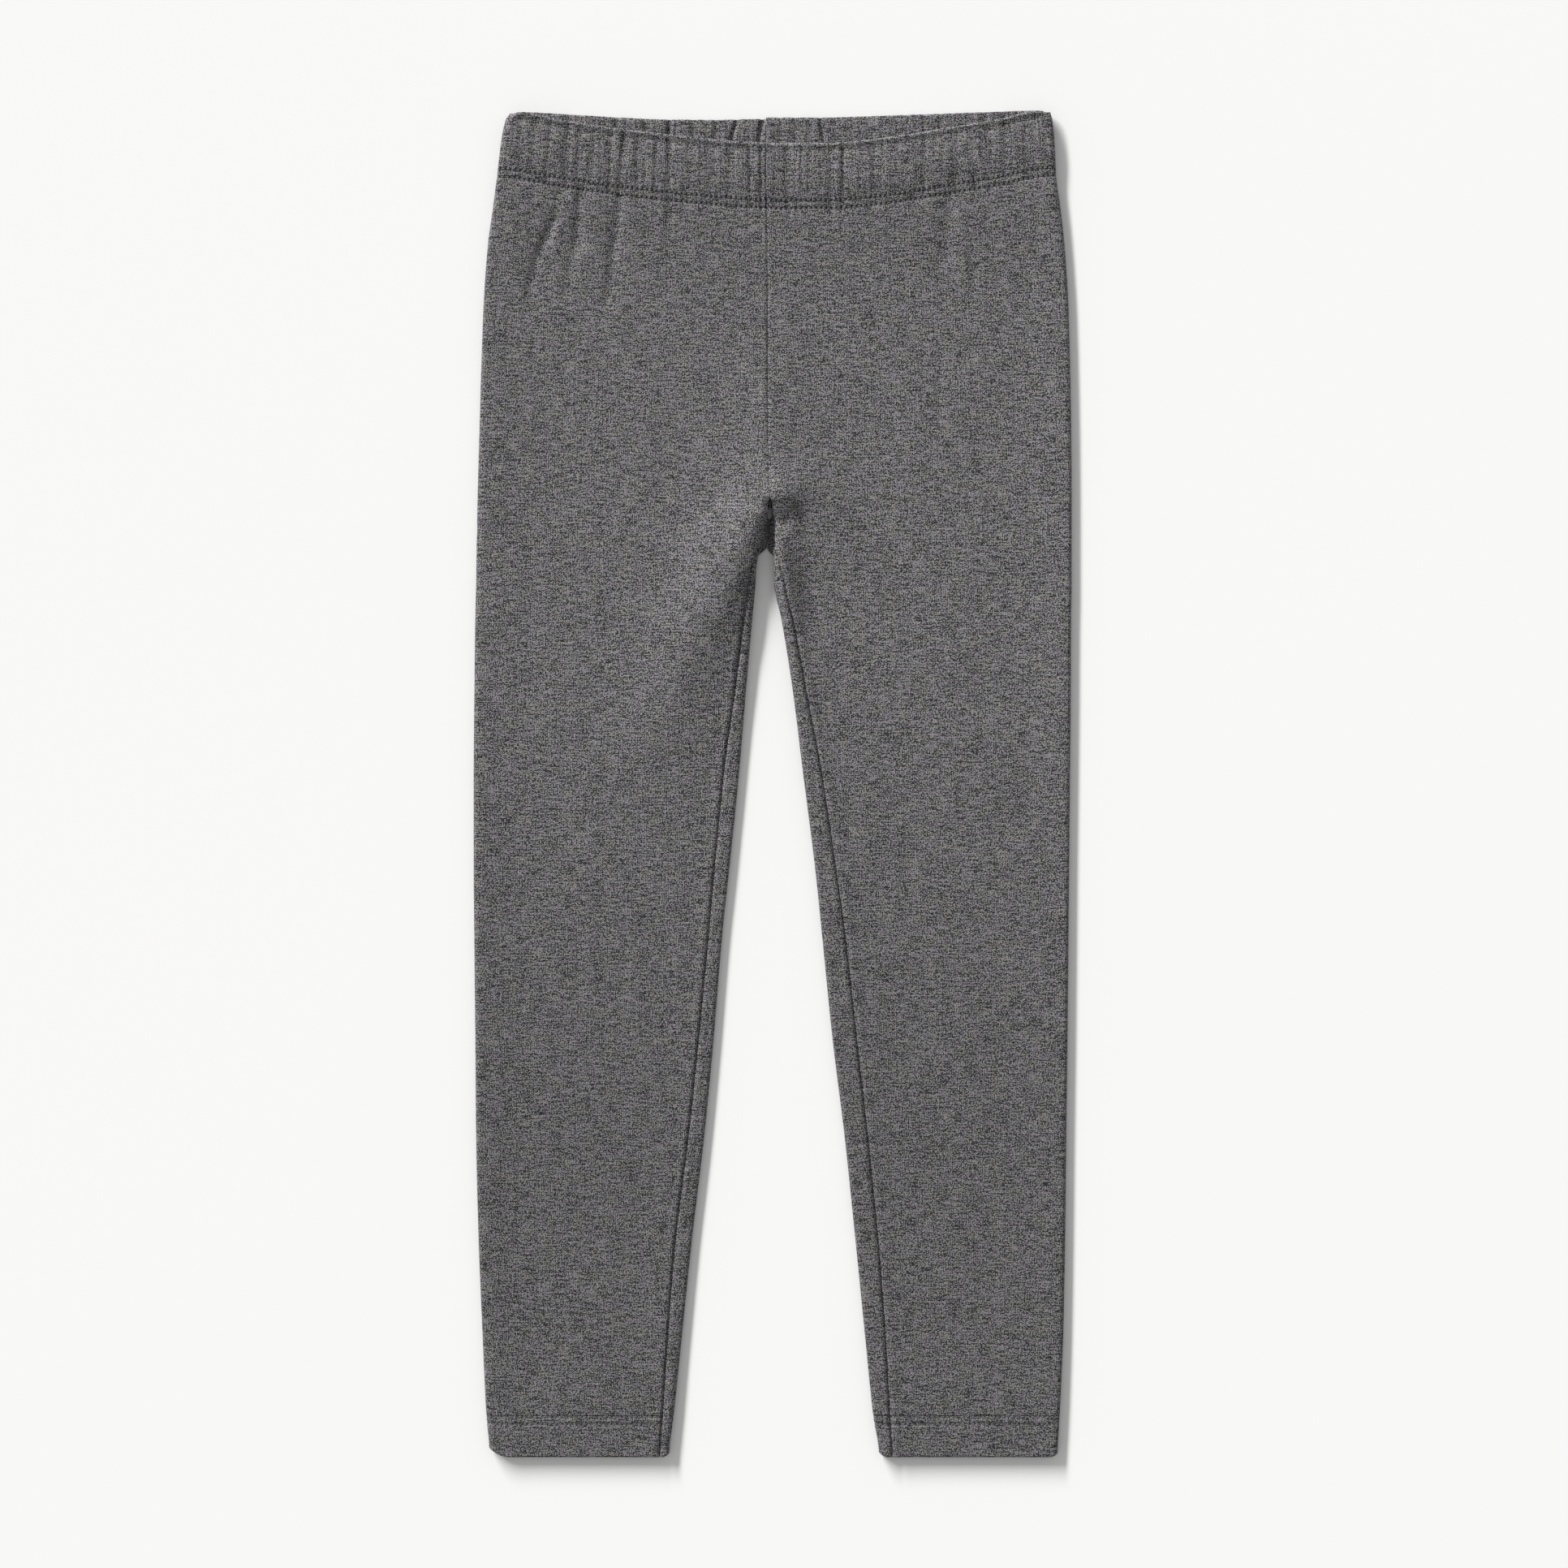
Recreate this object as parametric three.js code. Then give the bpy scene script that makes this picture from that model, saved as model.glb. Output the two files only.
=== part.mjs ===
// Leggings of grey marl jersey, laid flat on their back: two leg panels with no side seam, a casing
// over flat elastic at the waist, and turned-up hems. Millimetres. +X is the wearer's left, +Y runs
// up to the waist and +Z away from the surface that the leggings lie on.
import * as THREE from "three";

// Walls of cloth
const JERSEY = 1.2; // one ply of jersey
const CASING = 3.0; // two plies over flat elastic
const CASING_FOOT = 1.8; // two plies below the elastic, where the casing is sewn down
const HEM = 2.0; // the ankle's ply and the ply turned up inside it
const SEAM_GAP = 0.3; // between the edges that a seam joins

// Depths of the sewn bands
const CASING_DEPTH = 31.4;
const HEM_TOP = -304; // where the hem is sewn, at the ankle
const HEM_DEPTH = 19.7;

// Heights of the middle of the cloth above the surface, at the waist
const CASING_BACK = CASING / 2;
const CASING_FRONT = 5.9;

// Crotch: the front seam starts to sink at its top, and the legs part at its foot
const CROTCH_TOP = 137.3;
const CROTCH_FOOT = 125.2;
const QUARTER_TURN = Math.PI / 2;

// Colour of the marl, light and dark fibres together
const MARL = 0x656467;

// A table's rows as objects with the columns' names
function table(columns, rows) {
  return rows.map((row) => Object.fromEntries(columns.map((name, i) => [name, row[i]])));
}

// Outline at each height: the outer folds and inner folds of the right and left leg across X, how far
// each inseam lies in from its inner fold, and the garment's thickness at its outer folds, in the
// middle of a leg and at its inner folds. Above the crotch the inner folds are the centre seam.
const SECTIONS = table(
  ["y", "rightOuter", "rightInner", "rightInseam", "leftInner", "leftInseam", "leftOuter", "thickOuter",
    "thickMiddle", "thickInner"],
  [
    [324.3, -126.2, -3.3, 0, -3.3, 0, 133.6, 6.0, 6.0, 6.0],
    [320.2, -128.4, -3.3, 0, -3.3, 0, 134.5, 6.0, 6.0, 6.0],
    [312.4, -130.1, -3.3, 0, -3.3, 0, 135.4, 6.0, 6.0, 6.0],
    [290.9, -132.8, -3.2, 0, -3.2, 0, 136.6, 6.0, 6.0, 6.0],
    [276.9, -134.6, -3.0, 0, -3.0, 0, 138.5, 5.6, 5.5, 5.5],
    [259.7, -137.0, -2.6, 0, -2.6, 0, 140.4, 5.1, 4.4, 4.4],
    [228.5, -139.2, -2.5, 0, -2.5, 0, 142.4, 4.9, 3.6, 3.7],
    [166.1, -141.2, -2.3, 0, -2.3, 0, 143.7, 4.8, 3.5, 4.4],
    [137.3, -142.0, -1.2, 0, -1.2, 0, 143.9, 4.8, 3.6, 5.6],
    [125.2, -142.2, -0.4, 0, -0.2, 0, 143.9, 4.8, 3.6, 6.0],
    [115.4, -142.4, -5.9, 0.5, 0.5, 0.6, 143.9, 4.8, 3.6, 6.0],
    [95.9, -142.7, -8.2, 2.5, 0.6, 4.7, 143.9, 4.8, 3.5, 5.8],
    [80.3, -143.1, -9.6, 3.7, 3.9, 4.9, 143.6, 4.8, 3.5, 5.5],
    [47.6, -143.5, -12.5, 4.7, 9.2, 5.8, 143.5, 4.7, 3.4, 5.1],
    [3.9, -143.9, -16.2, 6.8, 14.7, 8.5, 143.1, 4.7, 3.4, 4.7],
    [-40.2, -143.9, -20.7, 6.6, 20.3, 9.4, 142.7, 4.6, 3.3, 4.4],
    [-72.9, -143.6, -24.2, 5.9, 23.7, 10.6, 142.4, 4.6, 3.3, 4.2],
    [-122.5, -143.1, -28.3, 6.6, 28.7, 11.1, 141.9, 4.6, 3.3, 4.1],
    [-169.3, -142.7, -32.8, 7.0, 34.5, 10.6, 141.3, 4.6, 3.3, 4.0],
    [-216.1, -141.6, -38.4, 7.3, 39.4, 10.4, 140.8, 4.6, 3.4, 4.1],
    [-262.9, -139.7, -43.3, 6.2, 44.1, 9.4, 139.9, 4.7, 3.9, 4.4],
    [-305.0, -137.7, -47.6, 4.7, 48.4, 7.4, 138.1, 5.0, 4.8, 4.9],
    [-323.7, -136.4, -49.6, 3.9, 51.0, 5.9, 137.2, 5.0, 4.9, 5.0],
  ],
);

// Top edge of the casing, from the centre seam (0) to the outer fold (1). The front dips.
const TOP_EDGE = table(
  ["across", "rightFront", "leftFront", "rightBack", "leftBack"],
  [
    [0.0, 308.3, 308.0, 320.5, 320.5],
    [0.2, 309.9, 308.0, 319.8, 320.9],
    [0.4, 312.5, 310.2, 320.0, 321.7],
    [0.6, 315.4, 314.4, 321.1, 322.6],
    [0.8, 319.3, 318.8, 322.5, 323.6],
    [1.0, 323.0, 323.6, 323.6, 324.3],
  ],
);

// Casing from its top edge down: its wall, and the middle of that wall at the back and the front
const CASING_ROWS = table(
  ["drop", "wall", "back", "front"],
  [
    [0.0, 1.4, CASING_BACK, CASING_FRONT],
    [0.5, 2.4, CASING_BACK, CASING_FRONT],
    [1.6, CASING, CASING_BACK, CASING_FRONT],
    [9.0, CASING, CASING_BACK, CASING_FRONT],
    [17.0, CASING, CASING_BACK, CASING_FRONT],
    [25.0, CASING, CASING_BACK, CASING_FRONT],
    [28.0, 2.0, 1.0, 5.6],
    [CASING_DEPTH - SEAM_GAP, CASING_FOOT, CASING_FOOT / 2, 5.3],
  ],
);

// Hem from its seam down: its wall, rounded off at the ankle where the ply turns up
const HEM_ROWS = table(
  ["drop", "wall"],
  [
    [SEAM_GAP, JERSEY],
    [2.4, HEM],
    [10.0, HEM],
    [HEM_DEPTH - 0.9, HEM],
    [HEM_DEPTH - 0.3, 1.5],
    [HEM_DEPTH, 0.8],
  ],
);

// Gathers of the casing: the place across X of each trough at the top edge, how far it leans
// outwards on its way down, its half width and its depth
const FRONT_GATHERS = table(
  ["x", "lean", "half", "depth"],
  [
    [-119.6, -1.0, 1.9, 0.35],
    [-113.9, -1.2, 1.8, 0.5],
    [-106.5, -1.5, 1.7, 0.55],
    [-97.9, -1.6, 1.8, 0.6],
    [-91.7, -1.2, 1.5, 0.5],
    [-85.8, -1.4, 1.6, 0.5],
    [-77.2, -1.2, 1.6, 0.6],
    [-71.0, -2.2, 1.5, 0.8],
    [-64.0, -0.8, 1.7, 0.5],
    [-55.4, -0.6, 1.8, 0.5],
    [-49.5, 0.3, 1.3, 0.8],
    [-40.2, -0.4, 2.0, 0.45],
    [-29.3, -0.4, 2.2, 0.45],
    [-19.5, 0.4, 2.0, 0.4],
    [-10.9, 0.3, 1.3, 0.45],
    [7.0, 0.5, 1.6, 0.7],
    [27.7, 0.4, 1.8, 0.45],
    [34.1, -0.3, 1.1, 0.9],
    [48.8, 0.6, 2.2, 0.4],
    [71.8, 0.8, 2.4, 0.4],
    [88.5, 0.8, 2.2, 0.45],
    [104.0, 1.0, 2.0, 0.5],
    [111.5, 0.9, 2.0, 0.45],
    [124.0, 1.1, 2.2, 0.3],
  ],
);
const BACK_GATHERS = table(
  ["x", "lean", "half", "depth"],
  [
    [-98.0, 0.3, 2.4, 0.4],
    [-73.3, 0.2, 1.8, 0.5],
    [-54.2, 0.2, 1.6, 0.5],
    [-47.6, -0.2, 1.4, 0.5],
    [-39.8, 0.3, 1.6, 0.5],
    [-24.2, 0.2, 1.3, 0.9],
    [-17.6, 0.2, 1.2, 0.9],
    [-9.0, 0.0, 1.3, 0.7],
    [3.4, 0.2, 1.6, 0.5],
    [11.3, 0.2, 1.7, 0.5],
    [24.6, 0.3, 1.3, 0.9],
    [46.8, 0.2, 2.0, 0.5],
    [77.6, 0.4, 2.0, 0.5],
    [103.0, 0.4, 2.4, 0.4],
  ],
);

// Soft folds of the front ply, from one end to the other: half width, and height (troughs below 0)
const FOLDS = table(
  ["fromX", "fromY", "toX", "toY", "half", "height"],
  [
    [-103.4, 288, -114.7, 232, 5.0, -0.7],
    [-112.3, 286, -116.0, 262, 4.0, -0.4],
    [-91.6, 286, -96.0, 256, 4.5, -0.5],
    [-73.7, 282, -79.0, 234, 5.0, -0.5],
    [-44.9, 274, -43.0, 246, 5.0, -0.3],
    [57.0, 277, 58.0, 256, 4.5, -0.3],
    [67.0, 280, 66.5, 262, 4.0, -0.3],
    [84.2, 282, 81.5, 240, 5.0, -0.5],
    [-6.0, 146, -64.0, 26, 15.0, 0.9],
    [-24.0, 72, -30.0, -12, 8.0, -0.5],
    [8.0, 122, 16.0, 84, 7.0, -0.5],
    [70.0, 150, 96.0, 30, 18.0, 0.4],
  ],
);

// Slope of a monotone curve through a table's rows, so that it never overshoots them
function slopeAt(rows, key, name, i) {
  if (i === 0 || i === rows.length - 1) return 0;
  const before = (rows[i][name] - rows[i - 1][name]) / (rows[i][key] - rows[i - 1][key]);
  const after = (rows[i + 1][name] - rows[i][name]) / (rows[i + 1][key] - rows[i][key]);
  return before * after <= 0 ? 0 : (2 * before * after) / (before + after);
}

// The value of one column between a table's rows, on a cubic curve
function read(rows, key, name, at) {
  const rising = rows[1][key] > rows[0][key];
  let i = rows.findIndex((row) => (rising ? row[key] >= at : row[key] <= at));
  i = i < 0 ? rows.length - 1 : Math.max(i, 1);
  const [a, b] = [rows[i - 1], rows[i]];
  const span = b[key] - a[key];
  const f = THREE.MathUtils.clamp((at - a[key]) / span, 0, 1);
  const [startSlope, endSlope] = [slopeAt(rows, key, name, i - 1), slopeAt(rows, key, name, i)];
  return (
    a[name] * (1 + 2 * f) * (1 - f) ** 2 +
    b[name] * f * f * (3 - 2 * f) +
    span * f * (1 - f) * ((1 - f) * startSlope - f * endSlope)
  );
}

// Both legs: the sign of X on their side, the names of their columns, and how wide and high the hem
// is rounded at its outer and inner corner
const LEGS = {
  right: {
    name: "right",
    side: -1,
    outer: "rightOuter",
    inner: "rightInner",
    inseam: "rightInseam",
    outerCorner: { wide: 10, high: 4.6 },
    innerCorner: { wide: 4, high: 1.6 },
  },
  left: {
    name: "left",
    side: 1,
    outer: "leftOuter",
    inner: "leftInner",
    inseam: "leftInseam",
    outerCorner: { wide: 4, high: 1.8 },
    innerCorner: { wide: 4.5, high: 2.2 },
  },
};
const WAIST_CORNER = { wide: 4, high: 1.0 };
const EDGE_REACH = 16; // how far the thicker folds reach into a leg

// Height that the soft folds give the front ply at a place
function foldHeight(x, y) {
  let sum = 0;
  for (const { fromX, fromY, toX, toY, half, height } of FOLDS) {
    const [runX, runY] = [toX - fromX, toY - fromY];
    const length = Math.hypot(runX, runY);
    const along = ((x - fromX) * runX + (y - fromY) * runY) / length;
    const off = ((x - fromX) * runY - (y - fromY) * runX) / length;
    const past = Math.max(-along, along - length, 0);
    sum += height * Math.exp(-((off / half) ** 2) - (past / (2 * half)) ** 2);
  }
  return sum;
}

// Depth of the gathers' troughs on one half of the casing, at a place across X, `drop` below the edge
function gatherDepth(gathers, side, x, drop) {
  let sum = 0;
  for (const gather of gathers.filter((one) => one.x * side > 0)) {
    const centre = gather.x + (gather.lean * drop) / CASING_DEPTH;
    sum += gather.depth * Math.exp(-(((x - centre) / gather.half) ** 2));
  }
  return sum;
}

// What a leg's cross-section is at one height: its inner edge and width, how far the cloth has bent
// at its inner edge, and how far along the upper side of that bend its inseam lies
function sectionAt(leg, y, wall, backMiddle, frontMiddle) {
  const centre = read(SECTIONS, "y", leg.inner, y);
  const bend = QUARTER_TURN * THREE.MathUtils.clamp((CROTCH_TOP - y) / (CROTCH_TOP - CROTCH_FOOT), 0, 1);
  const inner = centre + (leg.side * SEAM_GAP) / 2;
  const width = Math.abs(read(SECTIONS, "y", leg.outer, y) - inner);
  const start = (wall / 2) * Math.sin(bend);
  const radiusAt = (d) => (frontMiddle(d) - backMiddle) / 2;
  const radius = radiusAt(start);
  const outerRadius = radiusAt(width);
  const inseam = read(SECTIONS, "y", leg.inseam, y);
  const round = radius * Math.acos(THREE.MathUtils.clamp(1 - inseam / radius, 0, 1));
  return {
    inner,
    start,
    bend,
    radius,
    outerRadius,
    back: backMiddle,
    front: frontMiddle,
    outerCentre: width - wall / 2 - outerRadius,
    arc: radius * bend,
    flat: start + radius * Math.sin(bend),
    seam: bend < QUARTER_TURN ? 0 : round + Math.max(0, inseam - radius),
  };
}

// The upper side of the inner bend, then the front ply, `a` along it from the bend's tip: the place
// d outwards from the inner edge and z up, with the outward normal
function upperSide(s, a) {
  const tip = s.front(s.flat) - s.radius * (1 - Math.cos(s.bend));
  if (a < s.arc) {
    const turn = s.bend - a / s.radius;
    return {
      d: s.start + s.radius * (Math.sin(s.bend) - Math.sin(turn)),
      z: tip + s.radius * (Math.cos(turn) - Math.cos(s.bend)),
      nd: -Math.sin(turn),
      nz: Math.cos(turn),
    };
  }
  const d = s.flat + a - s.arc;
  const slope = s.front(d + 0.5) - s.front(d - 0.5);
  const size = Math.hypot(1, slope);
  return { d, z: s.front(d), nd: -slope / size, nz: 1 / size };
}

// Evenly spaced columns on a front ply that starts at `from` and ends at `to`
function even(s, from, to, u) {
  return from + (to - from) * u;
}

// Columns that stand close together beside the seam, and further apart towards the outer fold
const BESIDE_SEAM = 2.4; // the width that the closest ones take
const BESIDE_SHARE = 0.2; // of all of them
const SPREAD = 1.25; // 1 would space the rest evenly
function graded(s, from, to, u) {
  const near = Math.max(s.arc, from + BESIDE_SEAM);
  if (u <= BESIDE_SHARE) return from + ((near - from) * u) / BESIDE_SHARE;
  return near + (to - near) * ((u - BESIDE_SHARE) / (1 - BESIDE_SHARE)) ** SPREAD;
}

// A leg panel's cut edge to cut edge: 0 to 1 is the front ply outwards, 1 to 2 the outer fold, 2 to 3
// the back ply inwards, 3 to 4 the lower half of the inner fold, 4 to 5 the rest up to the inseam
const UPPER_SHARE = 0.6; // of the last stretch's columns, those on the upper half of the inner fold
function acrossWall(s, u, spacing) {
  const edge = (SEAM_GAP / 2) * Math.sin(s.bend);
  if (u <= 1) return upperSide(s, spacing(s, s.seam + edge, s.arc + s.outerCentre - s.flat, u));
  if (u <= 2) {
    const turn = (u - 1) * Math.PI;
    return {
      d: s.outerCentre + s.outerRadius * Math.sin(turn),
      z: s.back + s.outerRadius * (1 + Math.cos(turn)),
      nd: Math.sin(turn),
      nz: Math.cos(turn),
    };
  }
  if (u <= 3) {
    return { d: s.outerCentre + (s.flat - s.outerCentre) * (u - 2), z: s.back, nd: 0, nz: -1 };
  }
  if (u <= 4) {
    const turn = (s.bend - edge / s.radius) * (u - 3);
    if (s.bend === 0) return { d: s.flat * (4 - u), z: s.back, nd: 0, nz: -1 };
    return {
      d: s.start + s.radius * (Math.sin(s.bend) - Math.sin(turn)),
      z: s.back + s.radius * (1 - Math.cos(turn)),
      nd: -Math.sin(turn),
      nz: -Math.cos(turn),
    };
  }
  const whole = s.seam - edge;
  const round = Math.min(s.arc, UPPER_SHARE * whole);
  const along = u - 4;
  if (along <= UPPER_SHARE) return upperSide(s, (round * along) / UPPER_SHARE);
  return upperSide(s, round + ((whole - round) * (along - UPPER_SHARE)) / (1 - UPPER_SHARE));
}

// A closed wall over a grid. place(i, j) gives its outer and inner point, and row i has counts[i]
// columns: where a row is shorter, the next row's further columns fan out from its last one.
function wallMesh(name, counts, place) {
  const positions = [];
  const starts = counts.map((count, i) => {
    const start = positions.length / 6;
    for (let j = 0; j < count; j++) for (const p of place(i, j)) positions.push(p.x, p.y, p.z);
    return start;
  });
  const at = (i, j, layer) => 2 * (starts[i] + Math.min(j, counts[i] - 1)) + layer;
  const faces = [];
  const quad = (a, b, c, d) => {
    for (const [p, q, r] of [[a, b, c], [a, c, d]]) {
      if (p !== q && q !== r && r !== p) faces.push(p, q, r);
    }
  };
  const last = counts.length - 1;
  const most = Math.max(...counts) - 1;
  for (let i = 0; i < last; i++) {
    for (let j = 0; j < most; j++) {
      quad(at(i, j, 0), at(i + 1, j, 0), at(i + 1, j + 1, 0), at(i, j + 1, 0));
      quad(at(i, j, 1), at(i, j + 1, 1), at(i + 1, j + 1, 1), at(i + 1, j, 1));
    }
    quad(at(i, 0, 0), at(i, 0, 1), at(i + 1, 0, 1), at(i + 1, 0, 0));
    quad(at(i, most, 0), at(i + 1, most, 0), at(i + 1, most, 1), at(i, most, 1));
  }
  for (let j = 0; j < most; j++) {
    quad(at(0, j, 0), at(0, j + 1, 0), at(0, j + 1, 1), at(0, j, 1));
    quad(at(last, j, 0), at(last, j, 1), at(last, j + 1, 1), at(last, j + 1, 0));
  }
  const geometry = new THREE.BufferGeometry();
  geometry.setAttribute("position", new THREE.Float32BufferAttribute(positions, 3));
  geometry.setIndex(facingOut(positions, faces));
  geometry.computeVertexNormals();
  const material = new THREE.MeshStandardMaterial({ color: MARL, roughness: 0.95, metalness: 0 });
  const mesh = new THREE.Mesh(geometry, material);
  mesh.name = name;
  return mesh;
}

// The same faces, turned round if they enclose a negative volume, as they do on a mirrored wall
function facingOut(positions, faces) {
  const corner = (i) => new THREE.Vector3().fromArray(positions, 3 * i);
  let volume = 0;
  for (let i = 0; i < faces.length; i += 3) {
    const [a, b, c] = [corner(faces[i]), corner(faces[i + 1]), corner(faces[i + 2])];
    volume += a.dot(b.cross(c));
  }
  return volume < 0 ? faces.reverse() : faces;
}

// The two points of a wall over its middle, at height y
function wallPoints(leg, s, m, y, outside, inside) {
  const point = (off) =>
    new THREE.Vector3(s.inner + leg.side * (m.d + m.nd * off), y, m.z + m.nz * off);
  return [point(outside), point(-inside)];
}

// Evenly spaced numbers from a to b, without a itself
function steps(a, b, count) {
  return Array.from({ length: count }, (_, i) => a + ((b - a) * (i + 1)) / count);
}

// Thickness of the whole garment over a place, d out from a leg's inner edge
function thickness(leg, y, d, width) {
  const thick = (name) => read(SECTIONS, "y", name, y);
  const middle = thick("thickMiddle");
  const outer = (thick("thickOuter") - middle) * Math.exp(-(((width - d) / EDGE_REACH) ** 2));
  const inner = (thick("thickInner") - middle) * Math.exp(-((d / EDGE_REACH) ** 2));
  return middle + outer + inner;
}

// How far a point round the outer fold has passed from the front ply (0) to the back ply (1)
function backShare(u) {
  return THREE.MathUtils.clamp(u - 1, 0, 1);
}

// Height of the top edge at a place across a leg's half of the waist
function topEdge(leg, u, across) {
  const front = read(TOP_EDGE, "across", leg.name + "Front", across);
  const back = read(TOP_EDGE, "across", leg.name + "Back", across);
  return THREE.MathUtils.lerp(front, back, backShare(u));
}

// How far a rounded corner falls short of a straight edge, at a distance from the corner's side
function cornerDrop(corner, fromSide) {
  return corner.high * Math.max(0, 1 - fromSide / corner.wide) ** 2;
}

// Rows of a leg panel by their height at the outer fold. The rows near the casing follow its dip.
const PANEL_TOP = read(TOP_EDGE, "across", "leftBack", 1) - CASING_DEPTH;
const LEVEL_ROW = 230; // the first row that lies straight across
const LEVEL_FRONT = 4.4; // a plain front ply, to find how far across a column stands
const PANEL_ROWS = [
  PANEL_TOP, 284, 273, 258, LEVEL_ROW, 200, 170, 150, CROTCH_TOP, 133, 129, CROTCH_FOOT, 121.5, 117,
  111, 103, 92, 75, 50, 15, -30, -85, -145, -205, -255, -285, HEM_TOP,
];
const FRONT_COLUMNS = 20;
const FOLD_COLUMNS = 6;
const BACK_COLUMNS = 6;
const RISE_COLUMNS = 3;
const INSEAM_COLUMNS = 5;
const TRUNK_STEPS = [
  0,
  ...steps(0, 1, FRONT_COLUMNS),
  ...steps(1, 2, FOLD_COLUMNS),
  ...steps(2, 3, BACK_COLUMNS),
  ...steps(3, 4, RISE_COLUMNS),
];
const LEG_STEPS = [...TRUNK_STEPS, ...steps(4, 5, INSEAM_COLUMNS)];

function legPanel(leg) {
  const counts = PANEL_ROWS.map((y) => (y < CROTCH_FOOT ? LEG_STEPS : TRUNK_STEPS).length);
  return wallMesh("leg_panel_" + leg.name, counts, (i, j) => {
    const level = PANEL_ROWS[i];
    const u = LEG_STEPS[j];
    const plain = sectionAt(leg, level, JERSEY, JERSEY / 2, () => LEVEL_FRONT);
    const across = Math.abs(acrossWall(plain, u, graded).d / (plain.outerCentre + JERSEY));
    const dip = topEdge(leg, u, across) - CASING_DEPTH - PANEL_TOP;
    const y = level + dip * THREE.MathUtils.clamp((level - LEVEL_ROW) / (PANEL_TOP - LEVEL_ROW), 0, 1);
    const inner = read(SECTIONS, "y", leg.inner, y);
    const width = Math.abs(read(SECTIONS, "y", leg.outer, y) - inner);
    const front = (d) =>
      thickness(leg, y, d, width) - JERSEY / 2 + foldHeight(inner + leg.side * d, y);
    const s = sectionAt(leg, y, JERSEY, JERSEY / 2, front);
    return wallPoints(leg, s, acrossWall(s, u, graded), y, JERSEY / 2, JERSEY / 2);
  });
}

// Columns of half a casing: three for each gather, at its trough and on both sides, which lean with
// it. Each has its place from the centre seam (0) to the start of the outer fold (1).
const BESIDE_TROUGH = 1.7; // half widths from a trough to the column beside it
const CLOSEST = 0.9; // two columns stand no closer
const EDGE_PUCKER = 0.5; // how far a trough pulls the top edge down, as a share of its depth
function gatherColumns(leg, gathers, width) {
  const marks = gathers
    .filter(({ x }) => x * leg.side > 0)
    .flatMap(({ x, lean, half }) =>
      [-1, 0, 1].map((k) => ({
        across: (leg.side * x + k * BESIDE_TROUGH * half) / width,
        lean: (leg.side * lean) / width,
      })),
    )
    .sort((a, b) => a.across - b.across);
  const near = CLOSEST / width;
  const apart = marks.filter(({ across }, i) => i === 0 || across - marks[i - 1].across > near);
  return [{ across: 0, lean: 0 }, ...apart.filter(({ across }) => across > near && across < 1 - near)];
}

function casing(leg) {
  const middleRow = CASING_ROWS[Math.floor(CASING_ROWS.length / 2)];
  const middleY = topEdge(leg, 1, 1) - middleRow.drop;
  const width = sectionAt(leg, middleY, CASING, CASING_BACK, () => CASING_FRONT).outerCentre;
  const front = gatherColumns(leg, FRONT_GATHERS, width);
  const back = gatherColumns(leg, BACK_GATHERS, width).reverse();
  const columns = [
    ...front.map(({ across, lean }) => ({ u: across, lean })),
    { u: 1, lean: 0 },
    ...steps(1, 2, FOLD_COLUMNS).map((u) => ({ u, lean: 0 })),
    ...back.map(({ across, lean }) => ({ u: 3 - across, lean: -lean })),
  ];
  const counts = CASING_ROWS.map(() => columns.length);
  return wallMesh("waistband_" + leg.name, counts, (i, j) => {
    const { drop, wall, back: backMiddle, front: frontMiddle } = CASING_ROWS[i];
    const u = columns[j].u + (columns[j].lean * drop) / CASING_DEPTH;
    const across = u <= 1 ? u : THREE.MathUtils.clamp(3 - u, 0, 1);
    const fromFold = (1 - across) * width;
    const level = topEdge(leg, u, across) - drop;
    const s = sectionAt(leg, level, wall, backMiddle, () => frontMiddle);
    const middle = acrossWall(s, u, even);
    const x = s.inner + leg.side * middle.d;
    const above = gatherDepth(FRONT_GATHERS, leg.side, x, drop) * (u < 1 ? 1 : 0);
    const below = gatherDepth(BACK_GATHERS, leg.side, x, drop) * (u > 2 ? 1 : 0);
    const edge = Math.max(0, 1 - drop / CASING_DEPTH);
    const y = level - (cornerDrop(WAIST_CORNER, fromFold) + EDGE_PUCKER * (above + below)) * edge;
    const round = wall / CASING;
    return wallPoints(leg, s, middle, y, wall / 2 - above * round, wall / 2 - below * round);
  });
}

function hem(leg) {
  const counts = HEM_ROWS.map(() => LEG_STEPS.length);
  return wallMesh("hem_" + leg.name, counts, (i, j) => {
    const { drop, wall } = HEM_ROWS[i];
    const level = HEM_TOP - drop;
    const inner = read(SECTIONS, "y", leg.inner, level);
    const width = Math.abs(read(SECTIONS, "y", leg.outer, level) - inner);
    const front = (d) => thickness(leg, level, d, width) - HEM / 2;
    const s = sectionAt(leg, level, HEM, HEM / 2, front);
    const middle = acrossWall(s, LEG_STEPS[j], graded);
    const corner = cornerDrop(leg.innerCorner, middle.d) + cornerDrop(leg.outerCorner, width - middle.d);
    const y = level + (corner * drop) / HEM_DEPTH;
    const top = i === 0 ? HEM / 2 : wall / 2;
    const inside = i === 0 ? JERSEY - HEM / 2 : wall / 2;
    return wallPoints(leg, s, middle, y, top, inside);
  });
}

// The garment, moved so that the middle of its box is at the origin and its back at height 0
const garment = new THREE.Group();
for (const leg of Object.values(LEGS)) {
  const side = new THREE.Group();
  side.add(legPanel(leg), casing(leg), hem(leg));
  garment.add(side);
}
const group = new THREE.Group();
const box = new THREE.Box3().setFromObject(garment);
garment.position.set(-(box.min.x + box.max.x) / 2, -(box.min.y + box.max.y) / 2, -box.min.z);
group.add(garment);

export default group;
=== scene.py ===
import math

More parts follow.
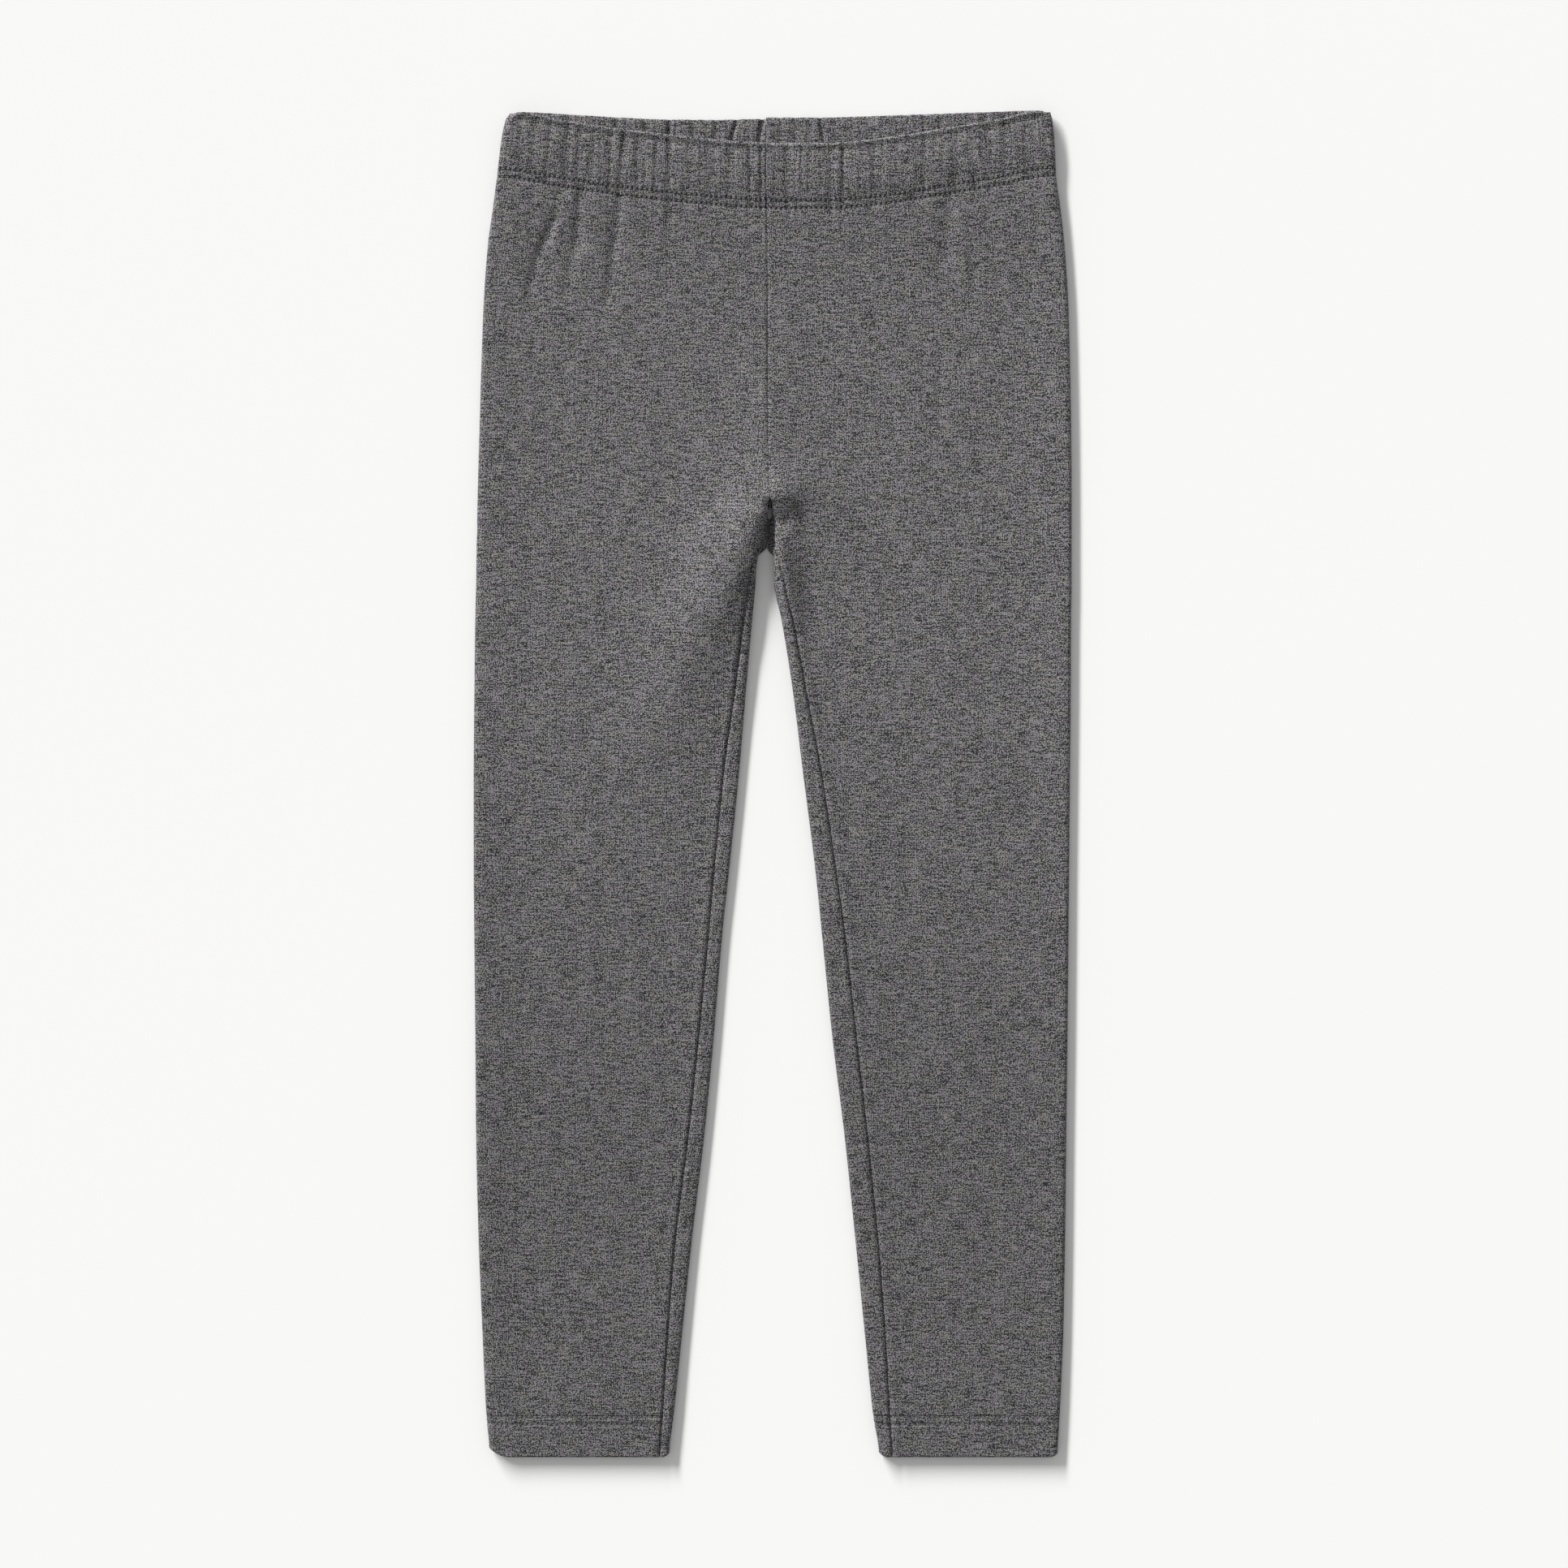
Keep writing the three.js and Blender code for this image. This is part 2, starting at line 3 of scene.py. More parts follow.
import bpy
import numpy as np
from bpy.props import FloatProperty, FloatVectorProperty, IntProperty, PointerProperty
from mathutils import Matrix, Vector


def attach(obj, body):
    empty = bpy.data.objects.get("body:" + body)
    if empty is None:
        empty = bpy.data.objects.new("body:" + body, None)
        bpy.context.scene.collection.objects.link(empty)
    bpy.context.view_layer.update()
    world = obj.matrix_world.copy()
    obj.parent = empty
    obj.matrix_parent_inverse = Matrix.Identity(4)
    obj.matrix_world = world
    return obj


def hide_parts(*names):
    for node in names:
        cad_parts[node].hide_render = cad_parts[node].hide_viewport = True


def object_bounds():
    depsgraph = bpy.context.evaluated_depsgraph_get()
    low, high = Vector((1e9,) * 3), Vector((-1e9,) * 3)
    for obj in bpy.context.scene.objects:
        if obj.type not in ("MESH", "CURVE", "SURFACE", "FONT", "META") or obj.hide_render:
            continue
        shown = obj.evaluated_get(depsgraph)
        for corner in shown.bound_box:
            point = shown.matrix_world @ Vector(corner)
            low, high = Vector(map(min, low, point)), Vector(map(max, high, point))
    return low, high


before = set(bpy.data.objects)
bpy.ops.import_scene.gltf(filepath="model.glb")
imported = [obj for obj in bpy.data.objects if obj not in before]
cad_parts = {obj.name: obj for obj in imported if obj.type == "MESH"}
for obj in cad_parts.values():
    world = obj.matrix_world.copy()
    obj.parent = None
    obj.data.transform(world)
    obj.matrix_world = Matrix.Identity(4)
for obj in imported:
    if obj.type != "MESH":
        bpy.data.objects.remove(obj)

CAD_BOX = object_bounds()

bl_info = {
    "name": "Marl leggings laid flat",
    "version": (1, 0, 0),
    "blender": (4, 5, 0),
    "location": "3D View > Sidebar > Leggings",
    "description": "Jersey leggings with a gathered waist, sewn hems and the light they lie in",
    "category": "Object",
}

MM = 0.001
QUARTER_TURN = math.pi / 2

# Walls of cloth and depths of the sewn bands
JERSEY = 1.2  # one ply of jersey
CASING = 3.0  # two plies over flat elastic
HEM = 2.0  # the ankle's ply and the ply turned up inside it
SEAM_GAP = 0.16  # between the two edges that a seam draws together
CASING_DEPTH = 31.4
ELASTIC_DEPTH = 25.0
CASING_BACK = 1.5  # height of the middle of the casing's back half
CASING_FRONT = 5.9  # and of its front half
HEM_TOP = -304.0
HEM_DEPTH = 19.7

# Crotch: the front seam starts to sink at its top, and the front plies part at its foot. The back
# plies still meet under that fork, down to its end.
CROTCH_TOP = 137.3
CROTCH_FOOT = 131.0
FORK_END = 107.0

EDGE_REACH = 16.0  # how far the thicker folds reach into a leg
LEVEL_ROW = 230.0  # the first row of the panels that lies straight across

# Knit: half way round a leg at the crotch, and how far apart the legs' parts of the pattern are
KNIT_HALF = 145.0
KNIT_APART = 700.0

# What the photograph takes in at the cloth, and how far its middle lies from the garment's
PHOTO_FIELD = 1932 * 0.39
PHOTO_SHIFT = 5.46
FLOOR_HALF = 9.0  # metres
FLOOR_DROP = 0.0001  # metres, so that the floor and the cloth's underside don't share a plane


def table(columns, rows):
    """A table's columns by name."""
    return dict(zip(columns.split(), np.array(rows, float).T))


# Outline at each height: the outer and inner folds of both legs across X, how far each inseam lies in
# from its inner fold, and the garment's thickness at its outer folds, mid leg and inner folds
SECTIONS = table(
    "y right_outer right_inner right_inseam left_inner left_inseam left_outer"
    " thick_outer thick_middle thick_inner",
    [
        [324.3, -126.2, -3.3, 0, -3.3, 0, 133.6, 6.0, 6.0, 6.0],
        [320.2, -128.4, -3.3, 0, -3.3, 0, 134.5, 6.0, 6.0, 6.0],
        [312.4, -130.1, -3.3, 0, -3.3, 0, 135.4, 6.0, 6.0, 6.0],
        [290.9, -132.8, -3.2, 0, -3.2, 0, 136.6, 6.0, 6.0, 6.0],
        [276.9, -134.6, -3.0, 0, -3.0, 0, 138.5, 5.6, 5.5, 5.5],
        [259.7, -137.0, -2.6, 0, -2.6, 0, 140.4, 5.1, 4.4, 4.4],
        [228.5, -139.2, -2.5, 0, -2.5, 0, 142.4, 4.9, 3.6, 3.7],
        [166.1, -141.2, -2.3, 0, -2.3, 0, 143.7, 4.8, 3.5, 4.4],
        [137.3, -142.0, -1.2, 0, -1.2, 0, 143.9, 4.8, 3.6, 5.6],
        [131.0, -142.1, -1.9, 0, -0.7, 0, 143.9, 4.8, 3.6, 6.0],
        [126.8, -142.2, -3.2, 0, 0.0, 0, 143.9, 4.8, 3.6, 6.0],
        [122.8, -142.2, -4.1, 0, 0.6, 0, 143.9, 4.8, 3.6, 6.0],
        [116.9, -142.4, -5.5, 0, 0.7, 0, 143.9, 4.8, 3.6, 6.0],
        [110.9, -142.5, -6.8, 0.4, 0.4, 0.8, 143.9, 4.8, 3.6, 6.0],
        [103.7, -142.6, -7.8, 1.6, 0.4, 2.6, 143.9, 4.8, 3.6, 5.9],
        [95.9, -142.7, -8.2, 2.5, 0.6, 4.7, 143.9, 4.8, 3.5, 5.8],
        [80.3, -143.1, -9.6, 3.7, 3.9, 4.9, 143.6, 4.8, 3.5, 5.5],
        [47.6, -143.5, -12.5, 4.7, 9.2, 5.8, 143.5, 4.7, 3.4, 5.1],
        [3.9, -143.9, -16.2, 6.8, 14.7, 8.5, 143.1, 4.7, 3.4, 4.7],
        [-40.2, -143.9, -20.7, 6.6, 20.3, 9.4, 142.7, 4.6, 3.3, 4.4],
        [-72.9, -143.6, -24.2, 5.9, 23.7, 10.6, 142.4, 4.6, 3.3, 4.2],
        [-122.5, -143.1, -28.3, 6.6, 28.7, 11.1, 141.9, 4.6, 3.3, 4.1],
        [-169.3, -142.7, -32.8, 7.0, 34.5, 10.6, 141.3, 4.6, 3.3, 4.0],
        [-216.1, -141.6, -38.4, 7.3, 39.4, 10.4, 140.8, 4.6, 3.4, 4.1],
        [-262.9, -139.7, -43.3, 6.2, 44.1, 9.4, 139.9, 4.7, 3.9, 4.4],
        [-305.0, -137.7, -47.6, 4.7, 48.4, 7.4, 138.1, 5.0, 4.8, 4.9],
        [-323.7, -136.4, -49.6, 3.9, 51.0, 5.9, 137.2, 5.0, 4.9, 5.0],
    ],
)

# Top edge of the casing, from the centre seam (0) to the outer fold (1). The front dips.
TOP_EDGE = table(
    "across right_front left_front right_back left_back",
    [
        [0.0, 308.3, 308.0, 320.2, 320.9],
        [0.2, 309.9, 308.0, 319.8, 320.9],
        [0.4, 312.5, 310.2, 320.0, 321.7],
        [0.6, 315.4, 314.4, 321.1, 322.6],
        [0.8, 319.3, 318.8, 322.5, 323.6],
        [1.0, 323.0, 323.6, 323.6, 324.3],
    ],
)

# Gathers of the casing: the place across X of each trough at the top edge, how far it leans outwards
# on its way down, its half width and its depth
FRONT_GATHERS = table(
    "x lean half depth",
    [
        [-119.6, -1.0, 1.9, 0.35],
        [-113.9, -1.2, 1.8, 0.5],
        [-106.5, -1.5, 1.7, 0.55],
        [-97.9, -1.6, 1.8, 0.6],
        [-91.7, -1.2, 1.5, 0.5],
        [-85.8, -1.4, 1.6, 0.5],
        [-77.2, -1.2, 1.6, 0.6],
        [-71.0, -2.2, 1.5, 0.8],
        [-64.0, -0.8, 1.7, 0.5],
        [-55.4, -0.6, 1.8, 0.5],
        [-49.5, 0.3, 1.3, 0.8],
        [-40.2, -0.4, 2.0, 0.45],
        [-29.3, -0.4, 2.2, 0.45],
        [-19.5, 0.4, 2.0, 0.4],
        [-10.9, 0.3, 1.3, 0.45],
        [-5.6, 0.2, 1.0, 0.75],
        [7.0, 0.5, 1.6, 0.7],
        [27.7, 0.4, 1.8, 0.45],
        [34.1, -0.3, 1.1, 0.9],
        [48.8, 0.6, 2.2, 0.4],
        [71.8, 0.8, 2.4, 0.4],
        [88.5, 0.8, 2.2, 0.45],
        [104.0, 1.0, 2.0, 0.5],
        [111.5, 0.9, 2.0, 0.45],
        [124.0, 1.1, 2.2, 0.3],
    ],
)
BACK_GATHERS = table(
    "x lean half depth",
    [
        [-98.0, 0.3, 2.4, 0.3],
        [-75.0, 0.5, 1.6, 0.55],
        [-60.5, 0.2, 1.8, 0.3],
        [-49.4, -1.5, 1.3, 0.9],
        [-46.3, -1.0, 1.0, 0.4],
        [-38.0, 0.3, 1.8, 0.35],
        [-27.0, -2.0, 1.6, 0.4],
        [-17.2, -8.0, 1.2, 1.0],
        [-5.2, -4.0, 1.2, 1.0],
        [3.4, 0.2, 1.6, 0.35],
        [11.3, 0.2, 1.7, 0.35],
        [22.8, 6.0, 1.2, 0.95],
        [46.8, 0.2, 2.0, 0.3],
        [80.6, 0.8, 1.6, 0.5],
        [103.0, 0.4, 2.4, 0.3],
    ],
)

# Folds of the front ply, from one end to the other: half width, and height (troughs below 0)
FOLDS = table(
    "from_x from_y to_x to_y half height",
    [
        [-103.4, 288, -114.7, 232, 5.0, -0.7],
        [-112.3, 286, -116.0, 262, 4.0, -0.4],
        [-91.6, 286, -96.0, 256, 4.5, -0.5],
        [-73.7, 282, -79.0, 234, 5.0, -0.5],
        [-44.9, 274, -43.0, 246, 5.0, -0.3],
        [57.0, 277, 58.0, 256, 4.5, -0.3],
        [67.0, 280, 66.5, 262, 4.0, -0.3],
        [84.2, 282, 81.5, 240, 5.0, -0.5],
        [-6.0, 146, -64.0, 26, 15.0, 0.9],
        [-24.0, 72, -30.0, -12, 8.0, -0.5],
        [8.0, 122, 16.0, 84, 7.0, -0.5],
        [70.0, 150, 96.0, 30, 18.0, 0.4],
    ],
)

# Smaller folds and bulges that only the cloth itself shows
SMALL_FOLDS = table(
    "from_x from_y to_x to_y half height",
    [
        [3.6, 131.4, 4.2, 128.6, 3.0, -3.0],
        [-4.0, 190, -3.0, 158, 7.0, 0.5],
        [15.0, 120, 19.0, 80, 7.0, -0.6],
        [-103.0, 283, -103.6, 274, 2.3, -1.0],
        [-105.0, 270, -112.0, 256, 2.4, -1.1],
        [-113.0, 253, -117.0, 238, 2.6, -0.7],
        [-92.0, 283, -93.6, 263, 2.4, -1.1],
        [-95.0, 257, -99.0, 238, 2.6, -0.7],
        [-73.6, 280, -75.4, 263, 2.4, -1.0],
        [-76.4, 257, -78.6, 236, 2.5, -0.9],
        [-60.0, 278, -60.0, 262, 2.6, -0.4],
        [-50.0, 271, -50.5, 252, 2.6, -0.6],
        [85.0, 281, 84.0, 257, 2.6, -0.7],
        [96.7, 260, 96.0, 233, 2.6, -0.65],
        [81.0, 209, 80.0, 182, 2.6, -0.5],
    ],
)

# The rolls that the cloth forms from the crotch down both legs' inner folds, the lowered edge beside the
# first one and the swelling beside them: the crest across X at each height, how softly it falls away
# towards -X and +X, and how high it stands
ROLLS = (
    table(
        "y crest minus plus height",
        [
            [215, -2, 20, 22, 0.0],
            [175, -3, 22, 18, 0.6],
            [150, -6, 24, 24, 0.9],
            [139, -8, 25, 18, 2.2],
            [127, -10.5, 26, 12, 4.8],
            [111, -18, 25, 13, 6.3],
            [96, -22.5, 25, 15, 6.6],
            [80, -29, 25, 22, 6.0],
            [64, -33, 22, 25, 4.4],
            [45, -40, 20, 27, 2.8],
            [10, -54, 18, 28, 1.3],
            [-40, -66, 16, 28, 0.5],
            [-100, -76, 15, 26, 0.0],
        ],
    ),
    table(
        "y crest minus plus height",
        [
            [158, 5.0, 7, 8, 0.0],
            [151, 5.0, 7, 8, 0.4],
            [146, 4.8, 7, 8, 1.0],
            [142, 4.6, 7, 8, 2.0],
            [139, 4.4, 7, 8, 2.7],
            [136.5, 4.2, 7, 8, 2.9],
            [132, 3.8, 6, 8, 0.8],
            [128, 3.0, 5, 9, 0.4],
            [122, 2.5, 4, 10, 1.2],
            [111, 2.5, 4, 12, 2.6],
            [96, 2.5, 4, 12, 3.0],
            [80, 4.5, 4, 10, 2.4],
            [64, 6.5, 3, 9, 1.6],
            [45, 9.5, 3, 9, 1.2],
            [10, 14.0, 3, 9, 0.8],
            [-40, 20.0, 3, 9, 0.5],
            [-120, 28.0, 3, 9, 0.0],
        ],
    ),
    table(
        "y crest minus plus height",
        [
            [120, -2, 5, 3, 0.0],
            [111, -3, 5, 3, -1.4],
            [96, -8, 6, 3, -3.0],
            [80, -9, 8, 3, -2.7],
            [64, -10.5, 9, 3, -2.5],
            [45, -12, 9, 3, -1.5],
            [10, -16, 10, 3, -0.9],
            [-60, -22, 12, 3, -0.3],
            [-160, -32, 12, 3, 0.0],
        ],
    ),
    table(
        "y crest minus plus height",
        [
            [172, 8, 12, 34, 0.0],
            [158, 8, 12, 34, 0.5],
            [150, 8, 12, 34, 1.2],
            [143, 8, 12, 34, 1.8],
            [137, 8, 12, 34, 1.8],
            [125, 8, 12, 30, 1.2],
            [111, 8, 12, 30, 0.5],
            [96, 8, 12, 30, 0.0],
        ],
    ),
)

LEGS = {
    "right": {"name": "right", "side": -1, "outer_corner": (10.0, 4.6), "inner_corner": (4.0, 1.6)},
    "left": {"name": "left", "side": 1, "outer_corner": (4.0, 1.8), "inner_corner": (4.5, 2.2)},
}
WAIST_CORNER = (4.0, 1.0)
PANEL_TOP = TOP_EDGE["left_back"][-1] - CASING_DEPTH

# Rows of stitches: how far below the casing's top edge, and below the hem's seam
WAIST_ROWS = (27.6, 31.4)
HEM_ROWS = (0.3, 3.8)


# The key light, a long softbox to the upper left that runs along Y: how far it lies towards -X for each
# metre of its height, and for each of its parts how far towards +Y, and that part's share of the light
KEY_ACROSS = 1.3
KEY_STRIP = table(
    "up share",
    [
        [1.12, 0.26],
        [1.5, 0.24],
        [1.95, 0.22],
        [2.4, 0.15],
        [3.0, 0.13],
    ],
)


class MarlSettings(bpy.types.PropertyGroup):
    """Sizes and colours of the cloth."""

    gather: FloatProperty(
        name="Gather",
        description="Depth of the casing's gathers, as a share of their depth in the table",
        default=1.4,
        min=0.0,
        max=2.0,
        subtype="FACTOR",
    )
    seam_depth: FloatProperty(
        name="Seam depth",
        description="How far the cloth dips into a seam",
        default=0.0005,
        min=0.0,
        max=0.001,
        subtype="DISTANCE",
        unit="LENGTH",
    )
    wale: FloatProperty(
        name="Wale",
        description="Distance between two wales of the knit",
        default=0.00105,
        min=0.0005,
        max=0.003,
        subtype="DISTANCE",
        unit="LENGTH",
    )
    dark_fibre: FloatVectorProperty(
        name="Dark fibre",
        description="Colour of the marl's dark fibres",
        default=(0.010, 0.0097, 0.0105),
        min=0.0,
        max=1.0,
        subtype="COLOR",
    )
    light_fibre: FloatVectorProperty(
        name="Light fibre",
        description="Colour of the marl's light fibres",
        default=(0.252, 0.244, 0.252),
        min=0.0,
        max=1.0,
        subtype="COLOR",
    )


class SewingSettings(bpy.types.PropertyGroup):
    """Sizes and colour of the stitches."""

    pitch: FloatProperty(
        name="Stitch",
        description="Length of one stitch, from needle hole to needle hole",
        default=0.0024,
        min=0.001,
        max=0.006,
        subtype="DISTANCE",
        unit="LENGTH",
    )
    thread: FloatProperty(
        name="Thread",
        description="Thickness of the thread",
        default=0.00034,
        min=0.0001,
        max=0.001,
        subtype="DISTANCE",
        unit="LENGTH",
    )
    colour: FloatVectorProperty(
        name="Thread colour",
        description="Colour of the thread",
        default=(0.2, 0.194, 0.2),
        min=0.0,
        max=1.0,
        subtype="COLOR",
    )


class StageSettings(bpy.types.PropertyGroup):
    """Floor, light and camera."""

    floor: FloatVectorProperty(
        name="Floor",
        description="Colour of the floor",
        default=(0.9, 0.897, 0.89),
        min=0.0,
        max=1.0,
        subtype="COLOR",
    )
    key: FloatProperty(
        name="Key light",
        description="Light that the long softbox at the upper left gives the floor",
        default=1.94,
        min=0.0,
    )
    sky: FloatProperty(
        name="Soft light",
        description="Strength of the light from all round",
        default=0.43,
        min=0.0,
    )
    height: FloatProperty(
        name="Camera height",
        description="Height of the camera above the floor",
        default=1.8,
        min=0.5,
        subtype="DISTANCE",
        unit="LENGTH",
    )
    seed: IntProperty(
        name="Seed",
        description="Start of the draws for the cloth's small unevenness",
        default=11,
        min=0,
    )


# Curves and soft relief


def read(rows, key, name, at):
    """One column of a table between its rows.

    A cubic through each pair of rows, whose slope at a row is the harmonic mean of the slopes on both
    sides of it, and 0 at the table's ends and at every turn, so that it never overshoots.
    """
    x, v = rows[key], rows[name]
    if x[0] > x[-1]:
        x, v = x[::-1], v[::-1]
    rise = np.diff(v) / np.diff(x)
    before, after = rise[:-1], rise[1:]
    same_way = before * after > 0
    slope = np.zeros_like(v)
    slope[1:-1] = np.where(same_way, 2 * before * after / np.where(same_way, before + after, 1), 0)
    i = np.clip(np.searchsorted(x, at) - 1, 0, len(x) - 2)
    span = x[i + 1] - x[i]
    f = np.clip((at - x[i]) / span, 0, 1)
    return (
        v[i] * (1 + 2 * f) * (1 - f) ** 2
        + v[i + 1] * f * f * (3 - 2 * f)
        + span * f * (1 - f) * ((1 - f) * slope[i] - f * slope[i + 1])
    )


def smooth(edge0, edge1, value):
    """0 before edge0, 1 after edge1, and 3f² - 2f³ of the fraction f between them."""
    f = np.clip((value - edge0) / (edge1 - edge0), 0, 1)
    return f * f * (3 - 2 * f)


def fold_height(folds, x, y):
    """Sum over the folds of height · exp(-(off / half)² - (past / 2half)²).

    off is the distance from the fold's line, and past is how far the place lies beyond its ends.
    """
    total = np.zeros(np.broadcast(x, y).shape)
    for from_x, from_y, to_x, to_y, half, height in zip(*(folds[c] for c in folds)):
        length = math.hypot(to_x - from_x, to_y - from_y)
        run_x, run_y = (to_x - from_x) / length, (to_y - from_y) / length
        along = (x - from_x) * run_x + (y - from_y) * run_y
        off = (x - from_x) * run_y - (y - from_y) * run_x
        past = np.maximum(np.maximum(-along, along - length), 0)
        total += height * np.exp(-((off / half) ** 2) - (past / (2 * half)) ** 2)
    return total


def roll_height(x, y):
    """Sum over the rolls of height · exp(-(off / half)²), half being another one on either side."""
    total = 0.0
    for roll in ROLLS:
        crest, minus, plus, height = (read(roll, "y", name, y) for name in list(roll)[1:])
        off = x - crest
        total = total + height * np.exp(-((off / np.where(off < 0, minus, plus)) ** 2))
    return total


def gather_depth(gathers, side, x, drop):
    """Sum over one side's gathers of depth · exp(-((x - centre) / half)²), the centre leaning with drop."""
    total = np.zeros(np.broadcast(x, drop).shape)
    for at, lean, half, depth in zip(*(gathers[c] for c in gathers)):
        if at * side > 0:
            total += depth * np.exp(-(((x - at - lean * drop / CASING_DEPTH) / half) ** 2))
    return total


def fine_gathers(seed, side, x, drop):
    """Narrow seeded gathers of 0.08 to 0.26 mm over the whole band, each of them slanting a little."""
    draw = np.random.default_rng(seed)
    total = np.zeros(np.broadcast(x, drop).shape)
    for at in np.arange(2.0, 136.0, 2.9) * side:
        place, lean, half, depth = draw.uniform((-1.2, -1.0, 0.6, 0.08), (1.2, 1.0, 1.1, 0.26))
        total += depth * np.exp(-(((x - at - place - lean * drop / CASING_DEPTH) / half) ** 2))
    return total


def undulation(seed, x, y):
    """Soft unevenness of cloth that was smoothed by hand: 70 long, low seeded waves, mostly upright."""
    draw = np.random.default_rng(seed)
    total = np.zeros(np.broadcast(x, y).shape)
    for _ in range(70):
        at_x, at_y, turn, half, long, height = draw.uniform(
            (-140, -300, -0.35, 5, 20, -0.16), (140, 260, 0.35, 14, 60, 0.16)
        )
        across = (x - at_x) * math.cos(turn) + (y - at_y) * math.sin(turn)
        along = (y - at_y) * math.cos(turn) - (x - at_x) * math.sin(turn)
        total += height * np.exp(-((across / half) ** 2) - (along / long) ** 2)
    return total


# Cross-sections of a leg


def thickness(y, d, width):
    """Thickness of the garment: its middle value, with more at both folds that dies away as exp(-t²)."""
    middle = read(SECTIONS, "y", "thick_middle", y)
    outer = read(SECTIONS, "y", "thick_outer", y) - middle
    inner = read(SECTIONS, "y", "thick_inner", y) - middle
    at_outer = np.exp(-(((width - d) / EDGE_REACH) ** 2))
    return middle + outer * at_outer + inner * np.exp(-((d / EDGE_REACH) ** 2))


class Section:
    """What a leg's cross-section is at each height: its folds, and how far its inner edge has bent."""

    def __init__(self, leg, y, wall, back, front):
        side = leg["side"]
        self.side, self.back, self.front = side, back, front
        centre = read(SECTIONS, "y", leg["name"] + "_inner", y)
        self.inner = centre + side * SEAM_GAP / 2
        self.width = np.abs(read(SECTIONS, "y", leg["name"] + "_outer", y) - self.inner)
        self.bend = QUARTER_TURN * np.sqrt(np.clip((CROTCH_TOP - y) / (CROTCH_TOP - CROTCH_FOOT), 0, 1))
        self.start = wall / 2 * np.sin(self.bend)
        radius, rise = (front(self.start) - back) / 2, 0.0
        for _ in range(4):
            flat = self.start + radius * (np.sin(self.bend) - np.sin(rise))
            rise = np.clip(np.arctan(front(flat + 0.5) - front(flat - 0.5)), -self.bend, self.bend)
            radius = (front(flat) - back) / (1 + np.cos(rise))
        self.radius, self.rise = radius, rise
        self.outer_radius = (front(self.width) - back) / 2
        self.outer_centre = self.width - wall / 2 - self.outer_radius
        self.arc = radius * (self.bend - rise)
        self.flat = self.start + radius * (np.sin(self.bend) - np.sin(rise))
        self.low_flat = self.start + radius * np.sin(self.bend)
        inseam = read(SECTIONS, "y", leg["name"] + "_inseam", y)
        curved = radius * (1 - np.sin(rise))
        bent = radius * np.arccos(np.clip(1 - np.minimum(inseam, curved) / radius, -1, 1))
        self.seam = np.where(self.bend < QUARTER_TURN, 0, bent + np.maximum(0, inseam - curved))
        self.edge = SEAM_GAP / 2 * np.sin(self.bend)
        other = read(SECTIONS, "y", ("left" if side < 0 else "right") + "_inner", y)
        most = self.radius + self.start + np.abs(centre - other) / 2 - wall / 2
        fork = smooth(CROTCH_FOOT, CROTCH_FOOT - 4, y) * smooth(FORK_END, FORK_END + 7, y)
        self.foot = fork * (most + np.sqrt(np.maximum(most**2 - self.radius**2, 0))) / 2

    def lower_side(self, inwards):
        """The back ply and the lower quarter of the inner fold, some way inwards along them: d and z.

        Under the fork it reaches out by foot · cos²(turn), so that both legs' feet meet in the middle.
        """
        run = self.outer_centre - self.low_flat
        turn = np.maximum(inwards - run, 0) / self.radius
        foot = self.foot * smooth(run - 12, run, inwards) * np.cos(turn) ** 2
        ply = inwards < run
        d = np.where(ply, self.outer_centre - inwards, self.low_flat - self.radius * np.sin(turn)) - foot
        return d, self.back + self.radius * (1 - np.cos(turn))

    def upper_side(self, a):
        """The bend at the inner edge, a circle's arc up to the ply's own slope, and then the front ply
        z = front(d).

        a is the way along it from the bend's tip. Gives d outwards, z and the outward normal.
        """
        turn = self.bend - a / self.radius
        on_arc = a < self.arc
        tip = self.front(self.flat) - self.radius * (np.cos(self.rise) - np.cos(self.bend))
        d = self.flat + a - self.arc
        slope = self.front(d + 0.5) - self.front(d - 0.5)
        size = np.hypot(1, slope)
        return (
            np.where(on_arc, self.start + self.radius * (np.sin(self.bend) - np.sin(turn)), d),
            np.where(on_arc, tip + self.radius * (np.cos(turn) - np.cos(self.bend)), self.front(d)),
            np.where(on_arc, -np.sin(turn), -slope / size),
            np.where(on_arc, np.cos(turn), 1 / size),
        )

    def across(self, c):
        """The middle of the wall from its front cut edge round to its other one.

        c from 0 to 1 is the front ply outwards, 1 to 2 a half circle round the outer fold, 2 to 4 the
        back ply inwards and the lower half of the inner fold, and 4 to 5 the upper half of the inner
        fold and the strip up to the inseam. Gives d, z and the outward normal.
        """
        a = self.seam + self.edge + (self.arc + self.outer_centre - self.flat - self.seam - self.edge) * c
        front = self.upper_side(a)
        round_fold = (c - 1) * math.pi
        fold = (
            self.outer_centre + self.outer_radius * np.sin(round_fold),
            self.back + self.outer_radius * (1 + np.cos(round_fold)),
            np.sin(round_fold),
            np.cos(round_fold),
        )
        lower_arc = self.radius * self.bend - self.edge
        run = self.outer_centre - self.low_flat
        inwards = (run + lower_arc) * (c - 2) / 2
        d, z = self.lower_side(inwards)
        before, after = self.lower_side(inwards - 0.03), self.lower_side(inwards + 0.03)
        along_d, along_z = after[0] - before[0], after[1] - before[1]
        size = np.hypot(along_d, along_z)
        back = (d, z, -along_z / size, along_d / size)
        tail = self.upper_side(np.maximum(self.seam - self.edge, 0.02) * (c - 4))
        parts = [
            np.select([c <= 1, c <= 2, c <= 4], [f, o, b], t)
            for f, o, b, t in zip(*(np.broadcast_arrays(*p) for p in (front, fold, back, tail)))
        ]
        return [np.asarray(p) for p in parts]


